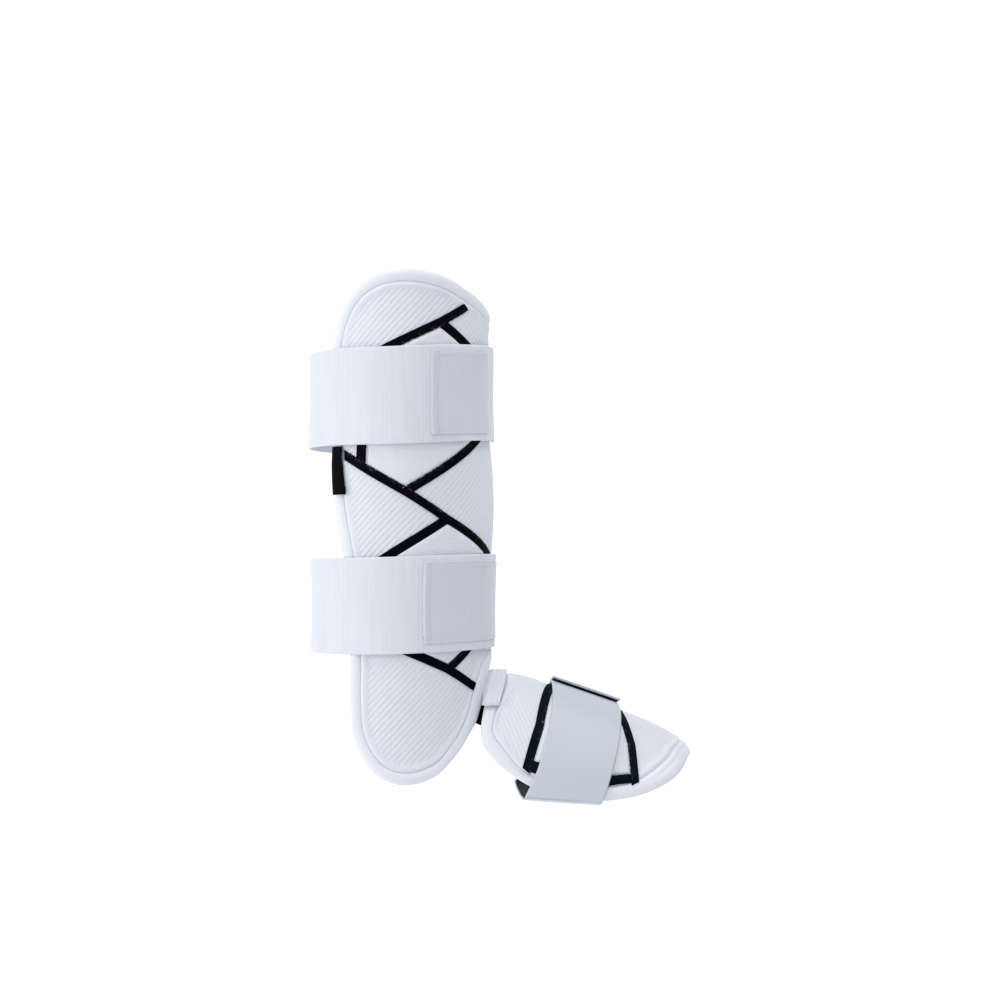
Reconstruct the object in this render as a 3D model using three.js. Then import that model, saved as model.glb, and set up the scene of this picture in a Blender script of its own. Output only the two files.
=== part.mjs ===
// A batter's leg guard: a padded shin shield, a padded foot shield hinged to it by two short links,
// two elastic calf straps and one foot strap. Millimetres, +Z up, +X towards the toe.
// The near side, with the ankle lobe, is -Y. The origin is the leg's axis at the ankle joint.

import * as THREE from 'three';
import { mergeVertices } from 'three/addons/utils/BufferGeometryUtils.js';

// Driving sizes
const PAD_THICKNESS = 9;
const PAD_EDGE_THICKNESS = 5.5;
const PIECE_GAP = 0.4;
const BINDING_GAP = 0.6;
const BINDING_THICKNESS = 1;
const SHIN_RIM_WIDTH = { usual: 8.5, ankle: 10.5 };
const SHIN_RIM_ANKLE = { low: [-20, 12], high: [48, 70], front: [50, 75] };
const FOOT_RIM_WIDTH = { heel: 9.5, waist: 6.2, toe: 12.5 };
const FOOT_RIM_WAIST = { starts: [66, 80], ends: [96, 122] };
const FOOT_RIM_TOE = [150, 190];
const CALF_STRAP_WIDTH = 63.5;
const CALF_STRAP_THICKNESS = 1.6;
const TAB_THICKNESS = 1;
const BAND_WIDTH = 5.7;
const BAND_THICKNESS = 1;
const PATCH_THICKNESS = 1;
const FOOT_STRAP_THICKNESS = 1.5;
const LINK_THICKNESS = 1.2;

// A pad's edge: how wide its rounding is, where its inner side starts to slope and where it is full
const PAD_ROUNDING = 2.4;
const PAD_SLOPE = { starts: 13, ends: 26, fall: 1.2 };

// A fold over the edge: insets where it lies flat, at its shoulder and at its tip
const FOLD = { flat: 3.6, shoulder: 1.9, tip: 1.5 };

// Heights of thin layers above the face of a shield
const FACE_LAYER = 0.4;
const STRAP_LAYER = 2;
const TAB_LAYER = STRAP_LAYER + CALF_STRAP_THICKNESS + 1.5 * PIECE_GAP;

// Samples round a shield's edge line, and the longest steps along pieces that curve
const EDGE_SAMPLES = 600;
const TURN_STEP = 7;
const BAND_STEP = 8;

// The shin form: an oval at each height, half its depth front to back and half its width
const SHIN_FORM = [
  { height: -40, depth: 58.0, width: 45.5 },
  { height: 20, depth: 60.5, width: 48.5 },
  { height: 50, depth: 60.2, width: 50.0 },
  { height: 86, depth: 59.0, width: 51.4 },
  { height: 112, depth: 59.9, width: 52.5 },
  { height: 132, depth: 61.9, width: 53.2 },
  { height: 156, depth: 62.8, width: 53.7 },
  { height: 178, depth: 62.1, width: 54.1 },
  { height: 198, depth: 60.1, width: 54.5 },
  { height: 225, depth: 59.0, width: 55.0 },
  { height: 262, depth: 59.3, width: 55.5 },
  { height: 312, depth: 58.4, width: 55.0 },
];

// The shin shield's edge, turned round the leg from the front (0) past the near side (90)
const SHIN_OUTLINE = [
  { turn: 122.4, height: 28 },
  { turn: 122.4, height: 53 },
  { turn: 127.0, height: 121 },
  { turn: 132.2, height: 155 },
  { turn: 136.0, height: 200 },
  { turn: 136.9, height: 262 },
  { turn: 131.6, height: 279 },
  { turn: 121.0, height: 294.5 },
  { turn: 104.8, height: 305 },
  { turn: 84.0, height: 308.5 },
  { turn: 60.5, height: 305.6 },
  { turn: 35.0, height: 296.4 },
  { turn: 8.0, height: 288.5 },
  { turn: -32.0, height: 283 },
  { turn: -54.0, height: 268 },
  { turn: -61.0, height: 240 },
  { turn: -61.0, height: 110 },
  { turn: -55.0, height: 78 },
  { turn: -36.0, height: 60 },
  { turn: -8.0, height: 51 },
  { turn: 10.6, height: 46.0 },
  { turn: 22.5, height: 30.5 },
  { turn: 38.8, height: 2 },
  { turn: 52.1, height: -13.5 },
  { turn: 66.4, height: -25 },
  { turn: 85.4, height: -29.6 },
  { turn: 102.7, height: -24.3 },
  { turn: 114.5, height: -11 },
  { turn: 120.5, height: 4 },
];

// The shin shield's rings close on this line, which runs up inside it
const SHIN_SPINE = { from: [45, 82], to: [45, 238], sideSteps: 13, farSteps: 18, nearSteps: 26 };

// The foot form: the crest's height and half the width at each distance towards the toe
const FOOT_BASE = -41;
const FOOT_FORM = [
  { along: 50, crest: 40.6, width: 46 },
  { along: 62, crest: 41.0, width: 46 },
  { along: 78, crest: 41.4, width: 46 },
  { along: 87, crest: 39.4, width: 46 },
  { along: 104, crest: 32.9, width: 46.5 },
  { along: 124, crest: 25.9, width: 47 },
  { along: 147, crest: 18.0, width: 47 },
  { along: 163, crest: 11.8, width: 46.5 },
  { along: 181, crest: 3.2, width: 46 },
  { along: 190, crest: -4.0, width: 45 },
  { along: 197, crest: -12.5, width: 44 },
];

// The foot shield's edge, turned from the crest (0) down the near side (90)
const FOOT_OUTLINE = [
  { along: 61.8, turn: 0 },
  { along: 60.0, turn: 24 },
  { along: 56.0, turn: 42 },
  { along: 54.3, turn: 53 },
  { along: 55.4, turn: 61.5 },
  { along: 64.4, turn: 71 },
  { along: 78.0, turn: 78.5 },
  { along: 96.0, turn: 85 },
  { along: 116, turn: 88.5 },
  { along: 138, turn: 88.5 },
  { along: 160, turn: 84 },
  { along: 176, turn: 74 },
  { along: 186, turn: 60 },
  { along: 193, turn: 33 },
  { along: 196.2, turn: 4 },
  { along: 194, turn: -20 },
  { along: 186, turn: -40 },
  { along: 170, turn: -53 },
  { along: 145, turn: -59 },
  { along: 110, turn: -61 },
  { along: 84, turn: -56 },
  { along: 67, turn: -36 },
];

// The foot shield's rings close on this line, which runs forward inside it
const FOOT_SPINE = { from: [92, 16], to: [150, 16], sideSteps: 6, farSteps: 16, nearSteps: 16 };

// Centre lines of the black bands that frame the two loop patches of the shin shield
const SHIN_BANDS = [
  { name: 'upper_band_top_rear', turn: [108.2, 61.5, 42.0], height: [250.6, 274.1, 285.2] },
  { name: 'upper_band_top_front', turn: [55.5, 24.4], height: [271.4, 251.8] },
  { name: 'upper_band_front', turn: [20, 20], height: [247.6, 206.4] },
  { name: 'upper_band_low_front', turn: [24.4, 80.0], height: [203.0, 166.6] },
  { name: 'upper_band_rear', turn: [113.3, 113.3], height: [245.0, 187.4] },
  { name: 'middle_band', turn: [122.8, 84, 58.7, 20.4, 6], height: [186.9, 162.8, 145.5, 124.9, 117.5] },
  { name: 'lower_band_top_rear', turn: [63.6, 105.2], height: [142.6, 114.8] },
  { name: 'lower_band_rear', turn: [109.2, 109.2], height: [110.4, 72.6] },
  { name: 'lower_band_low_rear', turn: [105.2, 57.5, 37.0], height: [68.6, 47.4, 35.6] },
  { name: 'lower_band_low_front', turn: [53.6, 24.4], height: [49.8, 72.4] },
  { name: 'lower_band_front', turn: [20, 20], height: [76.6, 118.2] },
];

// The loop patches fill the frames: each side is the band that bounds it
const SHIN_PATCHES = [
  {
    name: 'upper_loop_patch',
    turns: [24.6, 61.5, 84, 107.8],
    above: ['upper_band_top_front', 'upper_band_top_rear'],
    below: ['upper_band_low_front', 'middle_band'],
  },
  {
    name: 'lower_loop_patch',
    turns: [24.6, 55.8, 59.4, 105.2],
    above: ['middle_band', 'lower_band_top_rear'],
    below: ['lower_band_low_front', 'lower_band_low_rear'],
  },
];

// The calf straps run from a free end on the front, round the near side and the calf, to the far edge
const CALF_STRAPS = [
  {
    name: 'upper_calf_strap', height: 225.4, freeEnd: -18, leavesPad: 158,
    tabName: 'upper_strap_tab', tabFrom: 22, tabTo: 69.5, tabWidth: 54, rise: 5.4, risesFrom: 105,
  },
  {
    name: 'lower_calf_strap', height: 88.4, freeEnd: -20, leavesPad: 134,
    tabName: 'lower_strap_tab', tabFrom: -12, tabTo: 74.4, tabWidth: 52, rise: 3.3, risesFrom: 130,
  },
];
const STRAP_SEWN_END = 312;
const STRAP_SEWN_LIFT = -9.6;
const STRAP_ENTERS_PAD = 286;
const STRAP_CORNER = 9;

// The foot strap: its rear and front edges over the crest and under the sole
const FOOT_STRAP_REAR = { crest: 103.5, sole: 83, bow: 1.68 };
const FOOT_STRAP_FRONT = { crest: 149.5, sole: 134, bow: 1.4 };
const FOOT_STRAP_SLANT = 6;
const FOOT_STRAP_TURNS = { start: -8, end: 363 };
const FOOT_STRAP_LAP = { from: 300, to: 345 };
const SOLE_BLEND = 10;
const FOOT_STRAP_LAYER = 2.1;
const SOLE_SAG = 1.5;
const SOLE_RISE = { rear: 4.5, front: 1.2 };

// Centre lines of the foot shield's bands; arc is the millimetres round the foot in a degree there
const FOOT_BANDS = [
  { name: 'foot_band_rear', along: [103.8, 92.4, 84.1], turn: [-6, 51, 75.0], width: 6.2, arc: 0.8 },
  { name: 'foot_band_front', along: [143.2, 154.0, 156.2], turn: [-6, 48.6, 72.4], width: 5.2, arc: 0.8 },
  { name: 'foot_band_low', along: [89.8, 136, 152.4], turn: [72.6, 76.6, 73.4], width: 5.4, arc: 1.15 },
];

// The foot's loop patch lies between its rear and front bands, from one turn to another
const FOOT_PATCH = { from: 4, to: 68 };

// The black side tag folds over the rear rim between these heights
const TAG = { low: 161.5, high: 193, width: 10, thickness: 1 };

// Lines of the white elastic link, from its far side to its near side
const LINK_INSIDE = -10.6;
const ELASTIC_LINK = [
  { footTurn: -25, footEdge: 63, lap: 9, sewn: [-14, 64], edge: [-14, 47], edgeLift: -9 },
  { footTurn: 0, footEdge: 61.5, lap: 10, sewn: [2, 60], edge: [1, 43.4], edgeLift: -9 },
  { footTurn: 22, footEdge: 60.8, lap: 10, sewn: [12, 52], edge: [4, 35.5], edgeLift: -6 },
  { footTurn: 41, footEdge: 57, lap: 9.5, sewn: [21, 38], edge: [6.5, 24.5], edgeLift: -1.2 },
];

// Lines of the black link strap, from its upper side to its lower side
const STRAP_LINK = [
  { sewn: [50, 28], edge: [17.5, 22], edgeLift: -5, foot: [72, 42] },
  { sewn: [52, 10], edge: [26, 9.5], edgeLift: -5, foot: [72, 60] },
];

const MATERIALS = {
  face: new THREE.MeshStandardMaterial({ color: 0xe9ecf4, roughness: 0.85 }),
  binding: new THREE.MeshStandardMaterial({ color: 0xf0f2f8, roughness: 0.7 }),
  loop: new THREE.MeshStandardMaterial({ color: 0xeceef6, roughness: 0.95 }),
  band: new THREE.MeshStandardMaterial({ color: 0x0b0c16, roughness: 0.5 }),
  footBand: new THREE.MeshStandardMaterial({ color: 0x061620, roughness: 0.5 }),
  elastic: new THREE.MeshStandardMaterial({ color: 0xe4e8f3, roughness: 0.9 }),
  footStrap: new THREE.MeshStandardMaterial({ color: 0xc9d0d9, roughness: 0.6 }),
  black: new THREE.MeshStandardMaterial({ color: 0x07070b, roughness: 0.8 }),
};

// Value of a table's column at a position along its key column, smooth through the rows
function smoothValue(rows, key, column, at) {
  const last = rows.length - 2;
  const found = rows.findIndex((row) => row[key] > at) - 1;
  const i = found < 0 ? (at <= rows[0][key] ? 0 : last) : found;
  const slope = (k) => {
    const before = rows[Math.max(k - 1, 0)];
    const after = rows[Math.min(k + 1, rows.length - 1)];
    return (after[column] - before[column]) / (after[key] - before[key]);
  };
  const span = rows[i + 1][key] - rows[i][key];
  const t = THREE.MathUtils.clamp((at - rows[i][key]) / span, 0, 1);
  const start = rows[i][column];
  const rise = rows[i + 1][column] - start;
  const entry = slope(i) * span;
  const exit = slope(i + 1) * span;
  return start + t * (entry + t * (3 * rise - 2 * entry - exit + t * (entry + exit - 2 * rise)));
}

// Height of a straight-sided line through matching lists, at a place along it
function lineValue(places, values, at) {
  const rising = places[0] < places[places.length - 1];
  const xs = rising ? places : [...places].reverse();
  const ys = rising ? values : [...values].reverse();
  const next = xs.findIndex((x) => x >= at);
  const i = THREE.MathUtils.clamp(next < 0 ? xs.length - 2 : next - 1, 0, xs.length - 2);
  return ys[i] + ((ys[i + 1] - ys[i]) * (at - xs[i])) / (xs[i + 1] - xs[i]);
}

// A surface gives a point from two coordinates; first and second run along its panel's table
const shinSurface = (turn, height) => {
  const angle = THREE.MathUtils.degToRad(turn);
  const depth = smoothValue(SHIN_FORM, 'height', 'depth', height);
  const width = smoothValue(SHIN_FORM, 'height', 'width', height);
  return new THREE.Vector3(depth * Math.cos(angle), -width * Math.sin(angle), height);
};
const footSurface = (along, turn) => {
  const angle = THREE.MathUtils.degToRad(turn);
  const crest = smoothValue(FOOT_FORM, 'along', 'crest', along);
  const width = smoothValue(FOOT_FORM, 'along', 'width', along);
  const height = FOOT_BASE + (crest - FOOT_BASE) * Math.cos(angle);
  return new THREE.Vector3(along, -width * Math.sin(angle), height);
};

// Point of a surface, lifted along the outward normal there
function lifted(surface, first, second, lift) {
  const step = 0.5;
  const along = surface(first + step, second).sub(surface(first - step, second));
  const across = surface(first, second + step).sub(surface(first, second - step));
  const normal = across.cross(along).normalize();
  return surface(first, second).addScaledVector(normal, lift);
}

// Closed solid through a row of closed sections with the same number of points
function loft(sections, ends) {
  const count = sections[0].length;
  const positions = sections.flatMap((section) => section.flatMap((p) => [p.x, p.y, p.z]));
  const geometry = new THREE.BufferGeometry();
  const indices = [];
  const face = (a, b, c) => indices.push(a, b, c);
  const gap = (a, b) => {
    const first = new THREE.Vector3().fromArray(positions, 3 * a);
    return first.distanceTo(new THREE.Vector3().fromArray(positions, 3 * b));
  };
  const quad = (a, b, c, d) => {
    if (gap(a, c) <= gap(b, d)) {
      face(a, b, c);
      face(a, c, d);
    } else {
      face(a, b, d);
      face(b, c, d);
    }
  };
  const spans = ends === 'joined' ? sections.length : sections.length - 1;
  for (let i = 0; i < spans; i += 1) {
    const here = i * count;
    const next = ((i + 1) % sections.length) * count;
    for (let k = 0; k < count; k += 1) {
      const after = (k + 1) % count;
      quad(here + k, here + after, next + after, next + k);
    }
  }
  if (ends === 'capped') {
    const last = (sections.length - 1) * count;
    for (let k = 0; k < count / 2 - 1; k += 1) {
      quad(k + 1, k, count - 1 - k, count - 2 - k);
      quad(last + k, last + k + 1, last + count - 2 - k, last + count - 1 - k);
    }
  }
  geometry.setAttribute('position', new THREE.Float32BufferAttribute(positions, 3));
  geometry.setIndex(indices);
  return closedFacingOut(geometry);
}

// Joins shared corners, drops faces that have none of their own area, and turns the faces outward
function closedFacingOut(geometry) {
  const merged = mergeVertices(geometry, 1e-3);
  const position = merged.getAttribute('position');
  const index = Array.from(merged.getIndex().array);
  const kept = [];
  let volume = 0;
  for (let i = 0; i < index.length; i += 3) {
    const [a, b, c] = index.slice(i, i + 3);
    if (a !== b && b !== c && c !== a) {
      const [p, q, r] = [a, b, c].map((k) => new THREE.Vector3().fromBufferAttribute(position, k));
      volume += p.dot(q.cross(r));
      kept.push([a, b, c]);
    }
  }
  merged.setIndex(kept.flatMap(([a, b, c]) => (volume > 0 ? [a, b, c] : [a, c, b])));
  merged.computeVertexNormals();
  return merged;
}

// A shield's panel: rays from a spine inside it reach its edge, and rings follow the edge inward
function makePanel(surface, outline, spine) {
  const corners = outline.map(([x, y]) => new THREE.Vector3(x, y, 0));
  const edge = new THREE.CatmullRomCurve3(corners, true).getSpacedPoints(EDGE_SAMPLES);
  const from = new THREE.Vector2(...spine.from);
  const to = new THREE.Vector2(...spine.to);
  const right = to.clone().sub(from).normalize().rotateAround(new THREE.Vector2(), -Math.PI / 2);
  const rays = [];
  const addRay = (base, index) => {
    const here = edgeAt(edge, index);
    const direction = here.clone().sub(base);
    const reach = direction.length();
    const tangent = edgeAt(edge, index + 1).sub(edgeAt(edge, index - 1)).normalize();
    rays.push({ base: base.clone(), direction: direction.divideScalar(reach), reach, tangent });
  };
  const addSide = (start, end, direction) => {
    for (let i = 0; i < spine.sideSteps; i += 1) {
      const base = start.clone().lerp(end, i / spine.sideSteps);
      addRay(base, edgeHit(edge, base, direction));
    }
  };
  const addFan = (base, steps) => {
    const start = edgeHit(edge, base, right);
    const end = edgeHit(edge, base, right.clone().negate());
    const [first, last] = base === to ? [start, end] : [end, start];
    const span = (last - first + EDGE_SAMPLES) % EDGE_SAMPLES;
    for (let i = 0; i < steps; i += 1) addRay(base, first + (span * i) / steps);
  };
  addSide(from, to, right);
  addFan(to, spine.farSteps);
  addSide(to, from, right.clone().negate());
  addFan(from, spine.nearSteps);
  rays.forEach((ray) => {
    ray.scale = insetScale(surface, ray);
  });
  return { surface, rays };
}

// Point of the closed edge line at a fractional sample number
function edgeAt(edge, index) {
  const wrapped = (index + EDGE_SAMPLES) % EDGE_SAMPLES;
  const i = Math.floor(wrapped);
  const here = new THREE.Vector2(edge[i].x, edge[i].y);
  return here.lerp(new THREE.Vector2(edge[i + 1].x, edge[i + 1].y), wrapped - i);
}

// Sample number at which a ray from inside meets the closed edge line
function edgeHit(edge, base, direction) {
  for (let i = 0; i < EDGE_SAMPLES; i += 1) {
    const start = new THREE.Vector2(edge[i].x - base.x, edge[i].y - base.y);
    const step = new THREE.Vector2(edge[i + 1].x - edge[i].x, edge[i + 1].y - edge[i].y);
    const turned = direction.cross(step);
    const share = start.cross(direction) / turned;
    if (start.cross(step) / turned > 0 && share >= 0 && share < 1) return i + share;
  }
  throw new Error('a ray from the spine misses the edge');
}

// Panel distance along a ray that moves 1 mm square to the edge on the surface
function insetScale(surface, ray) {
  const at = ray.base.clone().addScaledVector(ray.direction, ray.reach);
  const inner = at.clone().addScaledVector(ray.direction, -1);
  const beside = at.clone().add(ray.tangent);
  const origin = surface(at.x, at.y);
  const inward = surface(inner.x, inner.y).sub(origin);
  const along = surface(beside.x, beside.y).sub(origin).normalize();
  return 1 / Math.max(inward.cross(along).length(), 0.45);
}

// One ring of a panel: an inset from the edge, or a share of the way in from a starting inset
function panelPoint(panel, ray, inset, share, lift) {
  const edgeInset = Math.min(inset * ray.scale, 0.8 * ray.reach);
  const remaining = (ray.reach - edgeInset) * (1 - share);
  const at = ray.base.clone().addScaledVector(ray.direction, remaining);
  return lifted(panel.surface, at.x, at.y, lift);
}

// The pad of a shield: a full face, a round edge and a hollow inner side
function padGeometry(panel) {
  const inner = -PAD_THICKNESS;
  const edge = -PAD_EDGE_THICKNESS;
  const lap = BINDING_GAP + BINDING_THICKNESS;
  const corner = PAD_ROUNDING / 4;
  const profile = [
    { inset: PAD_SLOPE.ends, share: 1, lift: 0 },
    { inset: PAD_SLOPE.ends, share: 0.66, lift: 0 },
    { inset: PAD_SLOPE.ends, share: 0.33, lift: 0 },
    { inset: PAD_SLOPE.ends, share: 0, lift: 0 },
    { inset: PAD_SLOPE.starts, share: 0, lift: 0 },
    { inset: lap + PAD_ROUNDING, share: 0, lift: 0 },
    { inset: lap + corner, share: 0, lift: -PAD_ROUNDING / 3 },
    { inset: lap, share: 0, lift: edge / 2 },
    { inset: lap + corner, share: 0, lift: edge + PAD_ROUNDING / 3 },
    { inset: lap + PAD_ROUNDING, share: 0, lift: edge },
    { inset: PAD_SLOPE.starts, share: 0, lift: edge - PAD_SLOPE.fall },
    { inset: PAD_SLOPE.ends, share: 0, lift: inner + PIECE_GAP },
    { inset: PAD_SLOPE.ends, share: 0.33, lift: inner },
    { inset: PAD_SLOPE.ends, share: 0.66, lift: inner },
    { inset: PAD_SLOPE.ends, share: 1, lift: inner },
  ];
  const rings = profile.map((row) =>
    panel.rays.map((ray) => panelPoint(panel, ray, row.inset, row.share, row.lift)));
  return loft(rings, 'pinched');
}

// Section of what is folded over a shield's edge, clear of it by a gap: outer path, then inner path
function foldSection(width, clear, thickness) {
  const edge = -PAD_EDGE_THICKNESS;
  const fall = (PAD_SLOPE.fall * (width - FOLD.flat)) / (PAD_SLOPE.starts - FOLD.flat);
  const outer = clear + thickness;
  return [
    { inset: width, lift: outer },
    { inset: FOLD.flat, lift: outer },
    { inset: FOLD.shoulder - outer, lift: 0.5 * outer - 0.2 },
    { inset: FOLD.tip - outer, lift: edge / 2 },
    { inset: FOLD.shoulder - outer, lift: edge - 0.5 * outer + 0.2 },
    { inset: FOLD.flat, lift: edge - outer - 0.1 },
    { inset: width, lift: edge - fall - outer },
    { inset: width, lift: edge - fall - clear },
    { inset: FOLD.flat, lift: edge - clear - 0.1 },
    { inset: FOLD.shoulder - clear, lift: edge - 0.5 * clear + 0.1 },
    { inset: FOLD.tip - clear, lift: edge / 2 },
    { inset: FOLD.shoulder - clear, lift: 0.5 * clear - 0.1 },
    { inset: FOLD.flat, lift: clear },
    { inset: width, lift: clear },
  ];
}

// The binding all round a shield's edge; its width may change along the edge
function bindingGeometry(panel, widthAt) {
  const sections = panel.rays.map((ray) => {
    const edge = ray.base.clone().addScaledVector(ray.direction, ray.reach);
    const section = foldSection(widthAt(edge.x, edge.y), BINDING_GAP, BINDING_THICKNESS);
    return section.map((row) => panelPoint(panel, ray, row.inset, 0, row.lift));
  });
  return loft(sections, 'joined');
}

// A ribbon that lies on a surface between two edge lines, with its underside lifted off it
function ribbonGeometry(surface, edgeA, edgeB, across, undersides, thickness) {
  const sections = edgeA.map((start, i) => {
    const row = (lift) => Array.from({ length: across + 1 }, (_, k) => {
      const at = new THREE.Vector2(...start).lerp(new THREE.Vector2(...edgeB[i]), k / across);
      return lifted(surface, at.x, at.y, lift);
    });
    return [...row(undersides[i] + thickness), ...row(undersides[i]).reverse()];
  });
  return loft(sections, 'capped');
}

// Places from the first to the last of a list of corners, with no step longer than a given one
function stations(corners, step) {
  const places = [corners[0]];
  for (let i = 1; i < corners.length; i += 1) {
    const span = corners[i] - corners[i - 1];
    const count = Math.max(Math.ceil(Math.abs(span) / step), 1);
    for (let k = 1; k <= count; k += 1) places.push(corners[i - 1] + (span * k) / count);
  }
  return places;
}

// A band of even width along a centre line; the scale is the surface's millimetres per unit
function bandGeometry(surface, line, width, scale) {
  const centre = [line[0]];
  for (let i = 1; i < line.length; i += 1) {
    const length = Math.hypot(line[i][0] - line[i - 1][0], line[i][1] - line[i - 1][1]);
    const count = Math.max(Math.ceil(length / BAND_STEP), 1);
    for (let k = 1; k <= count; k += 1) {
      const mix = (axis) => line[i - 1][axis] + ((line[i][axis] - line[i - 1][axis]) * k) / count;
      centre.push([mix(0), mix(1)]);
    }
  }
  const side = (sign) => centre.map(([x, y], i) => {
    const before = centre[Math.max(i - 1, 0)];
    const after = centre[Math.min(i + 1, centre.length - 1)];
    const run = new THREE.Vector2((after[0] - before[0]) * scale[0], (after[1] - before[1]) * scale[1]);
    const half = (sign * width) / 2 / run.length();
    return [x - (run.y * half) / scale[0], y + (run.x * half) / scale[1]];
  });
  const undersides = centre.map(() => FACE_LAYER);
  return ribbonGeometry(surface, side(1), side(-1), 1, undersides, BAND_THICKNESS);
}

const group = new THREE.Group();
function addPiece(name, geometry, material) {
  const mesh = new THREE.Mesh(geometry, material);
  mesh.name = name;
  group.add(mesh);
}

// Shin shield and its binding
const shinPanel = makePanel(
  shinSurface, SHIN_OUTLINE.map((row) => [row.turn, row.height]), SHIN_SPINE);
addPiece('shin_shield', padGeometry(shinPanel), MATERIALS.face);
const shinRimWidth = (turn, height) => {
  const { low, high, front } = SHIN_RIM_ANKLE;
  const level = THREE.MathUtils.smoothstep(height, ...low) - THREE.MathUtils.smoothstep(height, ...high);
  const ankle = level * (1 - THREE.MathUtils.smoothstep(turn, ...front));
  return THREE.MathUtils.lerp(SHIN_RIM_WIDTH.usual, SHIN_RIM_WIDTH.ankle, ankle);
};
addPiece('shin_binding', bindingGeometry(shinPanel, shinRimWidth), MATERIALS.binding);

// Foot shield and its binding, which narrows by the arch and widens towards the toe
const footPanel = makePanel(
  footSurface, FOOT_OUTLINE.map((row) => [row.along, row.turn]).reverse(), FOOT_SPINE);
const footRimWidth = (along) => {
  const { starts, ends } = FOOT_RIM_WAIST;
  const waist = THREE.MathUtils.smoothstep(along, ...starts) - THREE.MathUtils.smoothstep(along, ...ends);
  const toe = THREE.MathUtils.smoothstep(along, ...FOOT_RIM_TOE);
  const { heel } = FOOT_RIM_WIDTH;
  return heel + waist * (FOOT_RIM_WIDTH.waist - heel) + toe * (FOOT_RIM_WIDTH.toe - heel);
};
addPiece('foot_shield', padGeometry(footPanel), MATERIALS.face);
addPiece('foot_binding', bindingGeometry(footPanel, footRimWidth), MATERIALS.binding);

// Black bands of the shin shield
SHIN_BANDS.forEach((band) => {
  const line = band.turn.map((turn, i) => [turn, band.height[i]]);
  addPiece(band.name, bandGeometry(shinSurface, line, BAND_WIDTH, [1, 1]), MATERIALS.band);
});

// Loop patches between the bands
const PATCH_CLEARANCE = 1.2 * (BAND_WIDTH / 2 + PIECE_GAP);
SHIN_PATCHES.forEach((patch) => {
  const heightOn = (name, turn) => {
    const band = SHIN_BANDS.find((row) => row.name === name);
    return lineValue(band.turn, band.height, turn);
  };
  const turns = stations(patch.turns, TURN_STEP);
  const top = turns.map((turn) => {
    const height = Math.min(...patch.above.map((name) => heightOn(name, turn)));
    return [turn, height - PATCH_CLEARANCE];
  });
  const bottom = turns.map((turn) => {
    const height = Math.max(...patch.below.map((name) => heightOn(name, turn)));
    return [turn, height + PATCH_CLEARANCE];
  });
  const undersides = turns.map(() => FACE_LAYER);
  const geometry = ribbonGeometry(shinSurface, top, bottom, 2, undersides, PATCH_THICKNESS);
  addPiece(patch.name, geometry, MATERIALS.loop);
});

// Calf straps, with their sewn tabs; both climb a little towards the free end
function strapHeight(strap, turn) {
  return strap.height + strap.rise * (1 - THREE.MathUtils.smoothstep(turn, 0, strap.risesFrom));
}
function strapGeometry(strap) {
  const corner = [0, 0.15, 0.5].map((share) => strap.freeEnd + share * STRAP_CORNER);
  const turns = [...corner, ...stations([strap.freeEnd + STRAP_CORNER, STRAP_SEWN_END], TURN_STEP)];
  const halfWidths = turns.map((turn) => {
    const short = Math.max(STRAP_CORNER - (turn - strap.freeEnd), 0);
    return CALF_STRAP_WIDTH / 2 - STRAP_CORNER + Math.sqrt(STRAP_CORNER ** 2 - short ** 2);
  });
  const undersides = turns.map((turn) => {
    const inward = THREE.MathUtils.smoothstep(turn, strap.leavesPad, STRAP_ENTERS_PAD);
    return THREE.MathUtils.lerp(STRAP_LAYER, STRAP_SEWN_LIFT, inward);
  });
  const top = turns.map((turn, i) => [turn, strapHeight(strap, turn) + halfWidths[i]]);
  const bottom = turns.map((turn, i) => [turn, strapHeight(strap, turn) - halfWidths[i]]);
  return ribbonGeometry(shinSurface, top, bottom, 2, undersides, CALF_STRAP_THICKNESS);
}
CALF_STRAPS.forEach((strap) => {
  addPiece(strap.name, strapGeometry(strap), MATERIALS.elastic);
  const turns = stations([strap.tabFrom, strap.tabTo], TURN_STEP);
  const edge = (side) => turns.map((turn) => [turn, strapHeight(strap, turn) + (side * strap.tabWidth) / 2]);
  const undersides = turns.map(() => TAB_LAYER);
  const tab = ribbonGeometry(shinSurface, edge(1), edge(-1), 2, undersides, TAB_THICKNESS);
  addPiece(strap.tabName, tab, MATERIALS.elastic);
});

// Name tag, folded over the binding of the rear rim
const tagRays = stations([TAG.low, TAG.high], BAND_STEP).map((height) => {
  const rear = shinPanel.rays.filter((ray) => ray.direction.x > 0.99);
  const turns = rear.map((ray) => ray.base.x + ray.reach);
  const heights = rear.map((ray) => ray.base.y);
  const reach = lineValue(heights, turns, height) - SHIN_SPINE.from[0];
  const base = new THREE.Vector2(SHIN_SPINE.from[0], height);
  const scale = lineValue(heights, rear.map((ray) => ray.scale), height);
  return { base, direction: new THREE.Vector2(1, 0), reach, scale };
});
const tagClear = BINDING_GAP + BINDING_THICKNESS + PIECE_GAP;
const tagFold = foldSection(TAG.width, tagClear, TAG.thickness);
const tagSections = tagRays.map((ray) =>
  tagFold.map((row) => panelPoint(shinPanel, ray, row.inset, 0, row.lift)));
addPiece('side_tag', loft(tagSections, 'capped'), MATERIALS.black);

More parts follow.
